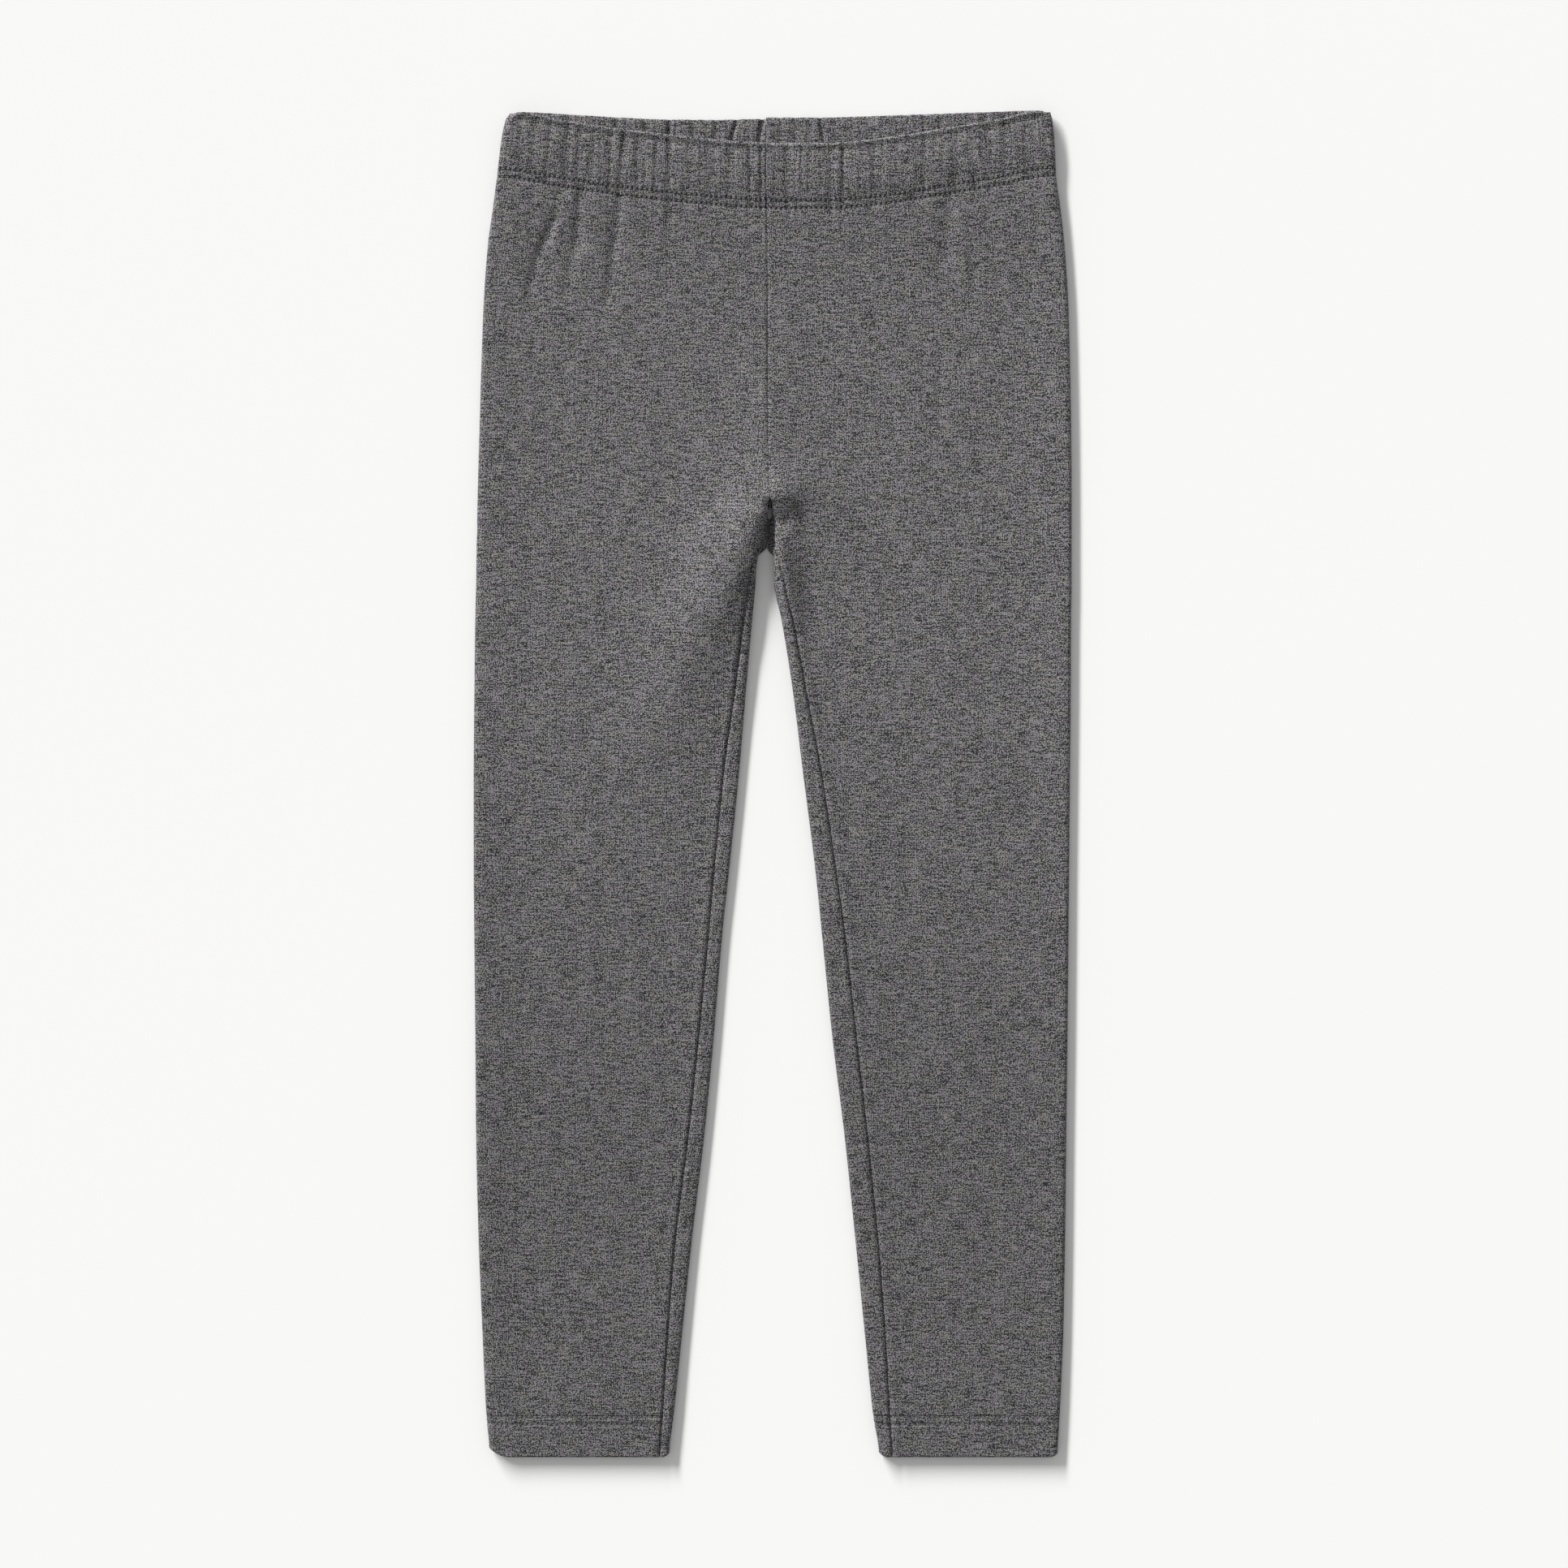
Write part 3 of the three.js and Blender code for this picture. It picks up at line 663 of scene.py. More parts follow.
def top_edge(leg, c, across):
    """Height of the casing's top edge: the front's, and the back's once the outer fold is passed."""
    front = read(TOP_EDGE, "across", leg["name"] + "_front", across)
    back = read(TOP_EDGE, "across", leg["name"] + "_back", across)
    return front + (back - front) * np.clip(c - 1, 0, 1)


def corner_drop(corner, from_side):
    """How far a rounded corner falls short of a straight edge: high · (1 - from_side / wide)²."""
    wide, high = corner
    return high * np.maximum(0, 1 - from_side / wide) ** 2


def in_space(s, y, d, z):
    """Points from distances out of a leg's inner edge."""
    return np.stack(np.broadcast_arrays(s.inner + s.side * d, y, z), axis=-1)


def outwards(s, nd, nz):
    """Unit vectors out of a leg's wall."""
    return np.stack(np.broadcast_arrays(s.side * nd, 0.0, nz), axis=-1)


# Surfaces of the cloth. Each gives the outer and inner points over rows and columns.


def seam_dip(points, depth):
    """How far the cloth sinks towards the cut edges at both ends of its rows, and rises beside them.

    depth · exp(-(t / 0.65)²) - 0.25 depth · exp(-((t - 2.4) / 1.2)²), t along the row from its nearer end.
    """
    step = np.linalg.norm(np.diff(points, axis=1), axis=2)
    along = np.concatenate([np.zeros((len(points), 1)), np.cumsum(step, axis=1)], axis=1)
    nearer = np.minimum(along, along[:, -1:] - along)
    return depth * (np.exp(-((nearer / 0.65) ** 2)) - 0.25 * np.exp(-(((nearer - 2.4) / 1.2) ** 2)))


def row_dip(offset):
    """Channel that a row of stitches draws into the cloth: 0.28 mm deep, exp(-(offset / 0.8)²)."""
    return 0.28 * np.exp(-((offset / 0.8) ** 2))


def panel_height(leg, level, c):
    """Height of a panel's row at column c: near the casing it follows the dip of the front edge."""
    across = np.where(c <= 1, c, np.clip((4 - c) / 2, 0, 1))
    dip = top_edge(leg, c, across) - CASING_DEPTH - PANEL_TOP
    return level + dip * np.clip((level - LEVEL_ROW) / (PANEL_TOP - LEVEL_ROW), 0, 1)


def panel_wall(leg, level, c, gather, seam_depth, seed):
    """The two sides of a leg's wall at the rows `level` and columns c, and its cross-sections.

    The middle of the wall is the leg's cross-section at that height, moved along its normal by the
    seams' dip, the stitches' channels and the ends of the casing's gathers.
    """
    level, c = level[:, None], c[None, :]
    y = panel_height(leg, level, c)
    inner = read(SECTIONS, "y", leg["name"] + "_inner", y)
    width = np.abs(read(SECTIONS, "y", leg["name"] + "_outer", y) - inner)

    def front(d):
        x = inner + leg["side"] * d
        edge = smooth(0, 12, width - d)
        soft = undulation(seed, x, y) + fold_height(SMALL_FOLDS, x, y) + roll_height(x, y)
        return thickness(y, d, width) - JERSEY / 2 + fold_height(FOLDS, x, y) + soft * edge

    s = Section(leg, y, JERSEY, JERSEY / 2, front)
    d, z, nd, nz = s.across(c)
    middle = in_space(s, y, d, z)
    x = middle[..., 0]
    below = PANEL_TOP - level
    puckers = gather_depth(FRONT_GATHERS, leg["side"], x, CASING_DEPTH) * (c < 1)
    puckers = puckers + gather_depth(BACK_GATHERS, leg["side"], x, CASING_DEPTH) * (c > 2)
    puckers = puckers + fine_gathers(seed, leg["side"], x, CASING_DEPTH) * (c != 1.5)
    fade = 0.55 * np.exp(-np.maximum(below, 0) / 14.0) * smooth(0, 8, width - d)
    deeper = 0.65 + 1.15 * smooth(CROTCH_TOP, CROTCH_FOOT, y)  # along the inseam
    dip = seam_dip(middle, seam_depth * deeper) + gather * puckers * fade
    dip = dip + row_dip(below) + row_dip(level - HEM_TOP + HEM_ROWS[0])
    normal = outwards(s, nd, nz)
    outer = middle + normal * (JERSEY / 2 - dip)[..., None]
    return outer, middle - normal * (JERSEY / 2 + dip)[..., None], s


def casing_wall(leg, drop, c, gather, seam_depth, seed):
    """The two sides of half a casing, drop below its top edge at column c.

    The wall is 3 mm thick over the elastic, its top edge a half circle with a soft lip where the
    elastic ends, and tapers at its foot to the panel's own surface. Gathers are troughs in both sides.
    """
    drop, c = drop[:, None], c[None, :]
    radius = CASING / 2
    edge = np.clip(1 - drop / radius, 0, 1)
    below_elastic = smooth(ELASTIC_DEPTH - 1.5, CASING_DEPTH, drop)
    eased = smooth(ELASTIC_DEPTH - 13, CASING_DEPTH + 3, drop)
    wall = (CASING - 1.2 * below_elastic) * np.sqrt(1 - edge**2)
    across = np.where(c <= 1, c, np.clip((4 - c) / 2, 0, 1))
    level = top_edge(leg, c, across) - drop
    foot_front = 5.3
    front_middle = CASING_FRONT + (foot_front - CASING_FRONT) * eased
    back_middle = CASING_BACK + (0.9 - CASING_BACK) * below_elastic
    s = Section(leg, level, wall, back_middle, lambda d: front_middle + 0 * d)
    d, z, nd, nz = s.across(c)
    x = s.inner + leg["side"] * d
    front_side = smooth(1.15, 0.98, c)
    back_side = smooth(1.85, 2.02, c)
    fine = fine_gathers(seed, leg["side"], x, drop)
    over = gather_depth(FRONT_GATHERS, leg["side"], x, drop) + fine
    under = gather_depth(BACK_GATHERS, leg["side"], x, drop) + fine
    held = gather * (1 - 0.5 * smooth(ELASTIC_DEPTH - 3, CASING_DEPTH, drop))
    at_edge = 0.4 + 0.6 * smooth(0, 4, drop)
    trough = held * (at_edge * over * front_side + 1.4 * under * back_side)
    fold = (1 - across) * s.width
    puckered = (0.5 * front_side + 0.15 * back_side) * trough * np.clip(1 - drop / CASING_DEPTH, 0, 1)
    y = level - corner_drop(WAIST_CORNER, fold) * np.clip(1 - drop / CASING_DEPTH, 0, 1) - puckered
    middle = in_space(s, y, d, z)
    normal = outwards(s, nd, nz)
    sewn = row_dip(drop - WAIST_ROWS[0]) + row_dip(drop - WAIST_ROWS[1])
    share = wall / CASING
    lip = 0.42 * np.exp(-(((drop - 1.3) / 1.1) ** 2)) - 0.24 * np.exp(-(((drop - 4.0) / 1.4) ** 2))
    dip = trough * share + seam_dip(middle, 0.6 * seam_depth) * share
    under_side = 1 - 0.6 * back_side
    outer = middle + normal * (wall / 2 - dip * under_side - sewn + lip * share * front_side)[..., None]
    inner = middle - normal * (wall / 2 - dip * (1.4 - under_side))[..., None]
    return outer, inner


def blend_to_panel(leg, drop, c, outer, gather, seam_depth, seed):
    """The casing's outer side, led over into the panel's own surface at its foot."""
    level = PANEL_TOP + CASING_DEPTH - drop
    panel, _, _ = panel_wall(leg, level, c, gather, seam_depth, seed)
    share = smooth(ELASTIC_DEPTH - 8, CASING_DEPTH, drop)[:, None, None]
    return outer + (panel - outer) * share


def hem_wall(leg, drop, c, gather, seam_depth, seed):
    """The two sides of a hem, drop below its seam: two plies whose turned-up edge is a half circle."""
    level, cc = (HEM_TOP - drop)[:, None], c[None, :]
    outer, _, s = panel_wall(leg, HEM_TOP - drop, c, gather, seam_depth, seed)
    inner_read = read(SECTIONS, "y", leg["name"] + "_inner", level)
    width = np.abs(read(SECTIONS, "y", leg["name"] + "_outer", level) - inner_read)
    left = (HEM_DEPTH - drop)[:, None]
    radius = HEM / 2
    rim = np.clip(1 - left / radius, 0, 1)
    plies = JERSEY + (HEM - JERSEY) * smooth(0, 1.6, drop)[:, None]
    wall = plies * np.sqrt(1 - rim**2)
    d, z, nd, nz = s.across(cc)
    normal = outwards(s, nd, nz)
    sunk = (plies - wall)[..., None] / 2
    channel = row_dip((drop - HEM_ROWS[1])[:, None])[..., None]
    top = outer - normal * (sunk + channel)
    bottom = outer - normal * (plies[..., None] - sunk)
    corner = corner_drop(leg["inner_corner"], d) + corner_drop(leg["outer_corner"], width - d)
    rise = corner * drop[:, None] / HEM_DEPTH
    top[..., 1] += rise
    bottom[..., 1] += rise
    return top, bottom


# Meshes


def wall_faces(counts):
    """Triangles of a closed wall over a grid whose row i has counts[i] columns of two points each.

    Where a row is shorter, the next row's further columns fan out from its last one.
    """
    counts = np.asarray(counts)
    starts = np.concatenate([[0], np.cumsum(counts)[:-1]])
    most = counts.max()
    at = 2 * (starts[:, None] + np.minimum(np.arange(most)[None, :], counts[:, None] - 1))

    def quads(a, b, c, d):
        corners = np.stack([a.ravel(), b.ravel(), c.ravel(), d.ravel()], axis=1)
        return np.concatenate([corners[:, [0, 1, 2]], corners[:, [0, 2, 3]]])

    up, down = at[:-1], at[1:]
    faces = [
        quads(up[:, :-1], down[:, :-1], down[:, 1:], up[:, 1:]),
        quads(up[:, :-1] + 1, up[:, 1:] + 1, down[:, 1:] + 1, down[:, :-1] + 1),
        quads(up[:, 0], up[:, 0] + 1, down[:, 0] + 1, down[:, 0]),
        quads(up[:, -1], down[:, -1], down[:, -1] + 1, up[:, -1] + 1),
        quads(at[0, :-1], at[0, 1:], at[0, 1:] + 1, at[0, :-1] + 1),
        quads(at[-1, :-1], at[-1, :-1] + 1, at[-1, 1:] + 1, at[-1, 1:]),
    ]
    faces = np.concatenate(faces)
    same = (faces[:, 0] == faces[:, 1]) | (faces[:, 1] == faces[:, 2]) | (faces[:, 2] == faces[:, 0])
    return faces[~same]


def to_frame(points):
    """Millimetres of the tables as metres of the frame, whose box stands on the hems' lowest edge."""
    lowest, highest = CAD_BOX
    shift = np.array([(lowest.x + highest.x) / 2, lowest.y - (HEM_TOP - HEM_DEPTH) * MM, 0.0])
    return points * MM + shift


def add_mesh(name, points, faces, attributes):
    """A shaded mesh object of triangles that face outwards, with its named vector attributes.

    Nothing reaches below the table: it presses the undersides flat.
    """
    points = to_frame(points)
    points[:, 2] = np.maximum(points[:, 2], 0)
    a, b, c = (points[faces[:, k]] for k in range(3))
    if np.einsum("ij,ij->i", a, np.cross(b, c)).sum() < 0:
        faces = faces[:, ::-1]
    mesh = bpy.data.meshes.new(name)
    mesh.vertices.add(len(points))
    mesh.vertices.foreach_set("co", points.ravel())
    mesh.loops.add(faces.size)
    mesh.loops.foreach_set("vertex_index", np.ascontiguousarray(faces).ravel())
    mesh.polygons.add(len(faces))
    mesh.polygons.foreach_set("loop_start", np.arange(0, faces.size, 3))
    mesh.update(calc_edges=True)
    for label, values in attributes.items():
        layer = mesh.attributes.new(label, "FLOAT_VECTOR", "POINT")
        layer.data.foreach_set("vector", np.ascontiguousarray(values, dtype=float).ravel())
    mesh.shade_smooth()
    mesh.validate()
    piece = bpy.data.objects.new(name, mesh)
    bpy.context.collection.objects.link(piece)
    return piece


def knit_coordinates(leg, points, c, cut):
    """Where each point lies in the knit, in millimetres.

    Along a row it is the way round from the outer fold. Above the crotch every row has the crotch
    row's widths, so that the wales draw together towards the gathered waist, and cut is 1 below it,
    where the taper cuts them off instead.
    """
    step = np.linalg.norm(np.diff(points, axis=1), axis=2)
    along = np.concatenate([np.zeros((len(points), 1)), np.cumsum(step, axis=1)], axis=1)
    fold = np.argmin(np.abs(c - 1.5))
    round_fold = along - along[:, fold : fold + 1]
    span = np.maximum(along[:, fold], 1e-6)[:, None]
    drawn = round_fold * KNIT_HALF / span
    return np.where(cut, round_fold, drawn) * leg["side"]


COLUMN_MARKS = table(
    "c spacing",
    [
        [0.0, 0.0018],
        [0.012, 0.0024],
        [0.03, 0.0084],
        [1.0, 0.0084],
        [1.001, 0.08],
        [2.0, 0.08],
        [2.01, 0.030],
        [3.85, 0.030],
        [3.94, 0.006],
        [4.0, 0.006],
    ],
)


def spaced(marks, key):
    """Places from the first mark to the last, as far apart at each as its spacing says.

    Their density is 1 / spacing, summed up along the way and cut into equal shares.
    """
    fine = np.linspace(marks[key][0], marks[key][-1], 20001)
    density = 1 / np.abs(np.interp(fine, *ascending(marks[key], marks["spacing"])))
    total = np.concatenate([[0], np.cumsum((density[1:] + density[:-1]) / 2 * np.abs(np.diff(fine)))])
    return np.interp(np.linspace(0, total[-1], int(round(total[-1])) + 1), total, fine)


def ascending(x, v):
    return (x, v) if x[0] < x[-1] else (x[::-1], v[::-1])


def leg_columns():
    """Columns of a leg's rows, closest together at the seams, and those of the strip up to the inseam."""
    trunk = spaced(COLUMN_MARKS, "c")
    return trunk, np.concatenate([trunk, np.linspace(4, 5, 15)[1:]])


PANEL_MARKS = table(
    "level spacing",
    [
        [PANEL_TOP, 0.6],
        [PANEL_TOP - 3, 1.3],
        [270, 2.2],
        [230, 3.2],
        [160, 2.4],
        [140, 0.8],
        [120, 0.6],
        [108, 0.9],
        [80, 3.2],
        [0, 4.6],
        [-296, 4.0],
        [-301, 0.8],
        [HEM_TOP, 0.5],
    ],
)


def leg_panel(leg, cloth, seed):
    """One leg's panel as a closed wall: its points, faces and attributes."""
    levels = spaced(PANEL_MARKS, "level")
    trunk, whole = leg_columns()
    counts = np.where(levels < CROTCH_FOOT - 0.3, len(whole), len(trunk))
    outer, inner, _ = panel_wall(leg, levels, whole, cloth.gather, cloth.seam_depth / MM, seed)
    knit = knit_points(leg, outer, whole, levels < CROTCH_TOP, outer[..., 1])
    waist, ankle = stitch_phase(leg, whole)
    count = np.where(levels[:, None] > 0, waist, ankle)
    below = np.broadcast_to((PANEL_TOP - levels)[:, None], count.shape)
    above = np.broadcast_to((levels - HEM_TOP + HEM_ROWS[0])[:, None], count.shape)
    sewn = np.stack([count, below, above], axis=-1)
    return closed_wall(outer, inner, knit, sewn, counts)


def knit_points(leg, measured, c, cut, along):
    """The knit's coordinates at the heights `along`, each leg in a part of the pattern of its own."""
    across = np.broadcast_to(knit_coordinates(leg, measured, c, cut[:, None]), along.shape)
    return np.stack([across, along, np.full(along.shape, KNIT_APART * leg["side"])], axis=-1)


def closed_wall(outer, inner, knit, sewn, counts):
    """A wall's points, faces and attributes, from its two sides over rows of counts columns."""
    keep = np.arange(outer.shape[1])[None, :] < counts[:, None]
    points = np.stack([outer[keep], inner[keep]], axis=1).reshape(-1, 3)
    attributes = {"knit": np.repeat(knit[keep], 2, axis=0), "sewn": np.repeat(sewn[keep], 2, axis=0)}
    return points, wall_faces(counts), attributes


def stitch_phase(leg, c):
    """How many stitches lie between the outer fold and each column, along the waist and the ankle."""
    pitch = bpy.context.scene.leggings_sewing.pitch / MM
    phases = []
    for level in (PANEL_TOP, HEM_TOP):
        plain, _, _ = panel_wall(leg, np.array([level]), c, 0.0, 0.0, 1)
        step = np.linalg.norm(np.diff(plain, axis=1), axis=2)[0]
        along = np.concatenate([[0], np.cumsum(step)])
        phases.append((along / pitch)[None, :])
    return phases


def casing_rows():
    """Drops of the casing's rows: by angle round its top edge, then 1 mm apart, and close at the stitches."""
    radius = CASING / 2
    edge = radius * (1 - np.cos(np.radians(np.linspace(9, 90, 10))))
    down = np.arange(radius + 0.8, 25.5, 0.95)
    sewn = np.linspace(25.8, CASING_DEPTH, 15)
    return np.concatenate([edge, down, sewn])


CASING_MARKS = table(
    "c spacing",
    [
        [0.0, 0.003],
        [0.02, 0.0052],
        [1.0, 0.0052],
        [1.001, 0.08],
        [2.0, 0.08],
        [2.001, 0.0104],
        [3.97, 0.0104],
        [4.0, 0.005],
    ],
)


def waistband(leg, cloth, seed):
    """Half a casing as a closed wall: its points, faces and attributes."""
    drop = casing_rows()
    c = spaced(CASING_MARKS, "c")
    outer, inner = casing_wall(leg, drop, c, cloth.gather, cloth.seam_depth / MM, seed)
    outer = blend_to_panel(leg, drop, c, outer, cloth.gather, cloth.seam_depth / MM, seed)
    foot, _, _ = panel_wall(leg, np.array([PANEL_TOP]), c, 0.0, 0.0, seed)
    knit = knit_points(leg, foot, c, np.array([False]), outer[..., 1])
    waist, _ = stitch_phase(leg, c)
    count = np.broadcast_to(waist, outer.shape[:2])
    lines = [np.broadcast_to((drop - at)[:, None], count.shape) for at in WAIST_ROWS]
    sewn = np.stack([count, *lines], axis=-1)
    counts = np.full(len(drop), len(c))
    return closed_wall(outer, inner, knit, sewn, counts)


def hem(leg, cloth, seed):
    """One hem as a closed wall: its points, faces and attributes."""
    radius = HEM / 2
    rim = HEM_DEPTH - radius * (1 - np.cos(np.radians(np.linspace(90, 8, 8))))
    drop = np.concatenate([np.linspace(0, 5.4, 15), np.arange(6.4, HEM_DEPTH - radius, 1.1), rim])
    _, whole = leg_columns()
    outer, inner = hem_wall(leg, drop, whole, cloth.gather, cloth.seam_depth / MM, seed)
    knit = knit_points(leg, outer, whole, np.full(len(drop), True), outer[..., 1])
    _, ankle = stitch_phase(leg, whole)
    count = np.broadcast_to(ankle, outer.shape[:2])
    lines = [np.broadcast_to((drop - at)[:, None], count.shape) for at in HEM_ROWS]
    sewn = np.stack([count, *lines], axis=-1)
    counts = np.full(len(drop), len(whole))
    return closed_wall(outer, inner, knit, sewn, counts)


# Stitches

RING = 6  # corners of a thread's section
ARCH = 6  # rings along a stitch


def stitches(lines, thread, seed):
    """Every stitch along some lines as a closed arched tube of thread: their points and faces.

    A stitch covers 0.78 of the pitch between two needle holes. Its middle line rises by
    0.55 thread · sin(πt) over the cloth and sinks 0.35 thread into it at both ends, and its tube has a
    half width of thread/2 · (1 - 0.45 · |2t - 1|⁴). Seeded draws shift and turn each one a little.
    """
    draw = np.random.default_rng(seed)
    t = np.linspace(0, 1, ARCH)
    all_points, all_faces, count = [], [], 0
    for line, normal, phase in lines:
        whole = np.arange(math.ceil(phase[0]), math.floor(phase[-1]))
        at = whole[:, None] + 0.11 + 0.78 * t[None, :]
        shift = draw.uniform(-0.05, 0.05, (len(whole), 1))
        centre = np.stack([np.interp(at + shift, phase, line[:, k]) for k in range(3)], axis=-1)
        up = np.stack([np.interp(at + shift, phase, normal[:, k]) for k in range(3)], axis=-1)
        run = centre[:, -1:] - centre[:, :1]
        run = run / np.linalg.norm(run, axis=2, keepdims=True)
        side = np.cross(run, up)
        side /= np.linalg.norm(side, axis=2, keepdims=True)
        up = np.cross(side, np.broadcast_to(run, side.shape))
        lean = draw.uniform(-0.25, 0.25, (len(whole), 1, 1)) * thread * (2 * t - 1)[None, :, None]
        lift = (0.9 * np.sin(math.pi * t) - 0.35)[None, :, None] * thread
        centre = centre + side * lean + up * lift
        thick = thread / 2 * (1 - 0.45 * np.abs(2 * t - 1) ** 4)
        turn = np.linspace(0, 2 * math.pi, RING, endpoint=False)
        ring = (
            side[:, :, None] * np.cos(turn)[None, None, :, None]
            + up[:, :, None] * np.sin(turn)[None, None, :, None]
        )
        points = centre[:, :, None] + ring * thick[None, :, None, None]
        tips = np.stack([centre[:, 0], centre[:, -1]], axis=1)
        each = ARCH * RING + 2
        block = np.concatenate([points.reshape(len(whole), -1, 3), tips], axis=1)
        i, j = np.meshgrid(np.arange(ARCH - 1), np.arange(RING), indexing="ij")
        a, b = i * RING + j, i * RING + (j + 1) % RING
        halves = [np.stack([a, b, b + RING], -1), np.stack([a, b + RING, a + RING], -1)]
        tube = np.concatenate([half.reshape(-1, 3) for half in halves])
        k = np.arange(RING)
        first = np.stack([np.full(RING, each - 2), (k + 1) % RING, k], axis=-1)
        end = (ARCH - 1) * RING
        last = np.stack([np.full(RING, each - 1), end + k, end + (k + 1) % RING], axis=-1)
        one = np.concatenate([tube, first, last])
        starts = count + each * np.arange(len(whole))
        all_points.append(block.reshape(-1, 3))
        all_faces.append((one[None] + starts[:, None, None]).reshape(-1, 3))
        count += each * len(whole)
    return np.concatenate(all_points), np.concatenate(all_faces)


def surface_line(outer, c, first, last):
    """A row of a wall's outer points between two columns, with the outward normals along it."""
    chosen = (c >= first) & (c <= last)
    line = outer[1, chosen]
    along = np.gradient(line, axis=0)
    down = (outer[2] - outer[0])[chosen]
    normal = np.cross(along, down)
    normal /= np.linalg.norm(normal, axis=1, keepdims=True)
    return line, normal


def waist_lines(leg, cloth, seed):
    """The waist's two rows on one leg's half of the casing, with each point's count of stitches."""
    c = spaced(CASING_MARKS, "c")
    phase, _ = stitch_phase(leg, c)
    lines = []
    for at in WAIST_ROWS:
        drop = np.array([at - 0.35, at - 0.1, at])
        outer, _ = casing_wall(leg, drop, c, cloth.gather, cloth.seam_depth / MM, seed)
        outer = blend_to_panel(leg, drop, c, outer, cloth.gather, cloth.seam_depth / MM, seed)
        line, normal = surface_line(outer, c, 0.004, 3.992)
        chosen = (c >= 0.004) & (c <= 3.992)
        lines.append((line, normal * -leg["side"], phase[0, chosen]))
    return lines


def hem_lines(leg, cloth, seed):
    """The hem's two rows round one ankle."""
    _, c = leg_columns()
    _, phase = stitch_phase(leg, c)
    lines = []
    for at in HEM_ROWS:
        drop = np.array([at - 0.2, at, at + 0.2])
        outer, _ = hem_wall(leg, drop, c, cloth.gather, cloth.seam_depth / MM, seed)
        line, normal = surface_line(outer, c, 0.004, 4.97)
        chosen = (c >= 0.004) & (c <= 4.97)
        lines.append((line, normal * -leg["side"], phase[0, chosen]))
    return lines


# Shaders


class Value:
    """A socket in shader maths: an operator on it adds the Math node that works it out."""

    def __init__(self, nodes, socket):
        self.nodes, self.socket = nodes, socket

    def _math(self, operation, *values):
        node = self.nodes.add("ShaderNodeMath", {"operation": operation})
        for socket, value in zip(node.inputs, values):
            self.nodes.put(socket, value)
        return Value(self.nodes, node.outputs[0])

    def __add__(self, other):
        return self._math("ADD", self, other)

    def __radd__(self, other):
        return self._math("ADD", other, self)

    def __sub__(self, other):
        return self._math("SUBTRACT", self, other)

    def __rsub__(self, other):
        return self._math("SUBTRACT", other, self)

    def __mul__(self, other):
        return self._math("MULTIPLY", self, other)

    def __rmul__(self, other):
        return self._math("MULTIPLY", other, self)

    def __truediv__(self, other):
        return self._math("DIVIDE", self, other)

    def __rtruediv__(self, other):
        return self._math("DIVIDE", other, self)

    def __pow__(self, other):
        return self._math("POWER", self, other)

    def sine(self):
        return self._math("SINE", self)

    def fraction(self):
        return self._math("FRACT", self)

    def size(self):
        return self._math("ABSOLUTE", self)

    def clamped(self):
        return self._math("MINIMUM", self._math("MAXIMUM", self, 0.0), 1.0)

    def bell(self, half):
        """exp(-(value / half)²), a soft mark of half width `half`."""
        scaled = self / half
        return self._math("EXPONENT", scaled * scaled * -1.0)


class Nodes:
    """A material's node tree."""

    def __init__(self, name):
        self.material = bpy.data.materials.new(name)
        self.material.use_nodes = True
        self.tree = self.material.node_tree
        self.tree.nodes.clear()

    def put(self, socket, value):
        """Sets a socket to a number, a colour or a vector, or links it."""
        if isinstance(value, Value):
            self.tree.links.new(value.socket, socket)
        elif isinstance(value, bpy.types.NodeSocket):
            self.tree.links.new(value, socket)
        else:
            socket.default_value = value

    def add(self, kind, settings=None, **sockets):
        """A node of a kind: its settings first, then the values or links of its sockets by name."""
        node = self.tree.nodes.new(kind)
        for name, value in (settings or {}).items():
            setattr(node, name, value)
        for name, value in sockets.items():
            self.put(node.inputs[name.replace("_", " ")], value)
        return node

    def attribute(self, name):
        """The three numbers of a piece's own attribute."""
        read_it = self.add("ShaderNodeAttribute", {"attribute_name": name, "attribute_type": "GEOMETRY"})
        split = self.add("ShaderNodeSeparateXYZ", Vector=read_it.outputs["Vector"])
        return [Value(self, out) for out in split.outputs]

    def vector(self, x, y, z):
        joined = self.add("ShaderNodeCombineXYZ", X=x, Y=y, Z=z)
        return joined.outputs[0]

    def noise(self, vector, scale, detail=1.0, rough=0.5):
        settings = {"noise_dimensions": "3D"}
        sockets = {"Vector": vector, "Scale": scale, "Detail": detail, "Roughness": rough}
        return Value(self, self.add("ShaderNodeTexNoise", settings, **sockets).outputs[0])

    def mix(self, factor, one, other):
        """Two colours mixed."""
        node = self.add("ShaderNodeMix", {"data_type": "RGBA"})
        self.put(node.inputs[0], factor)
        self.put(node.inputs[6], one)
        self.put(node.inputs[7], other)
        return node.outputs[2]

    def finish(self, **sockets):
        """A Principled shader with the given sockets, put out by the material."""
        shader = self.add("ShaderNodeBsdfPrincipled")
        for name, value in sockets.items():
            self.put(shader.inputs[name.replace("_", " ")], value)
        out = self.add("ShaderNodeOutputMaterial")
        self.tree.links.new(shader.outputs[0], out.inputs["Surface"])
        return self.material


def colour(rgb):
    return (*rgb, 1.0)


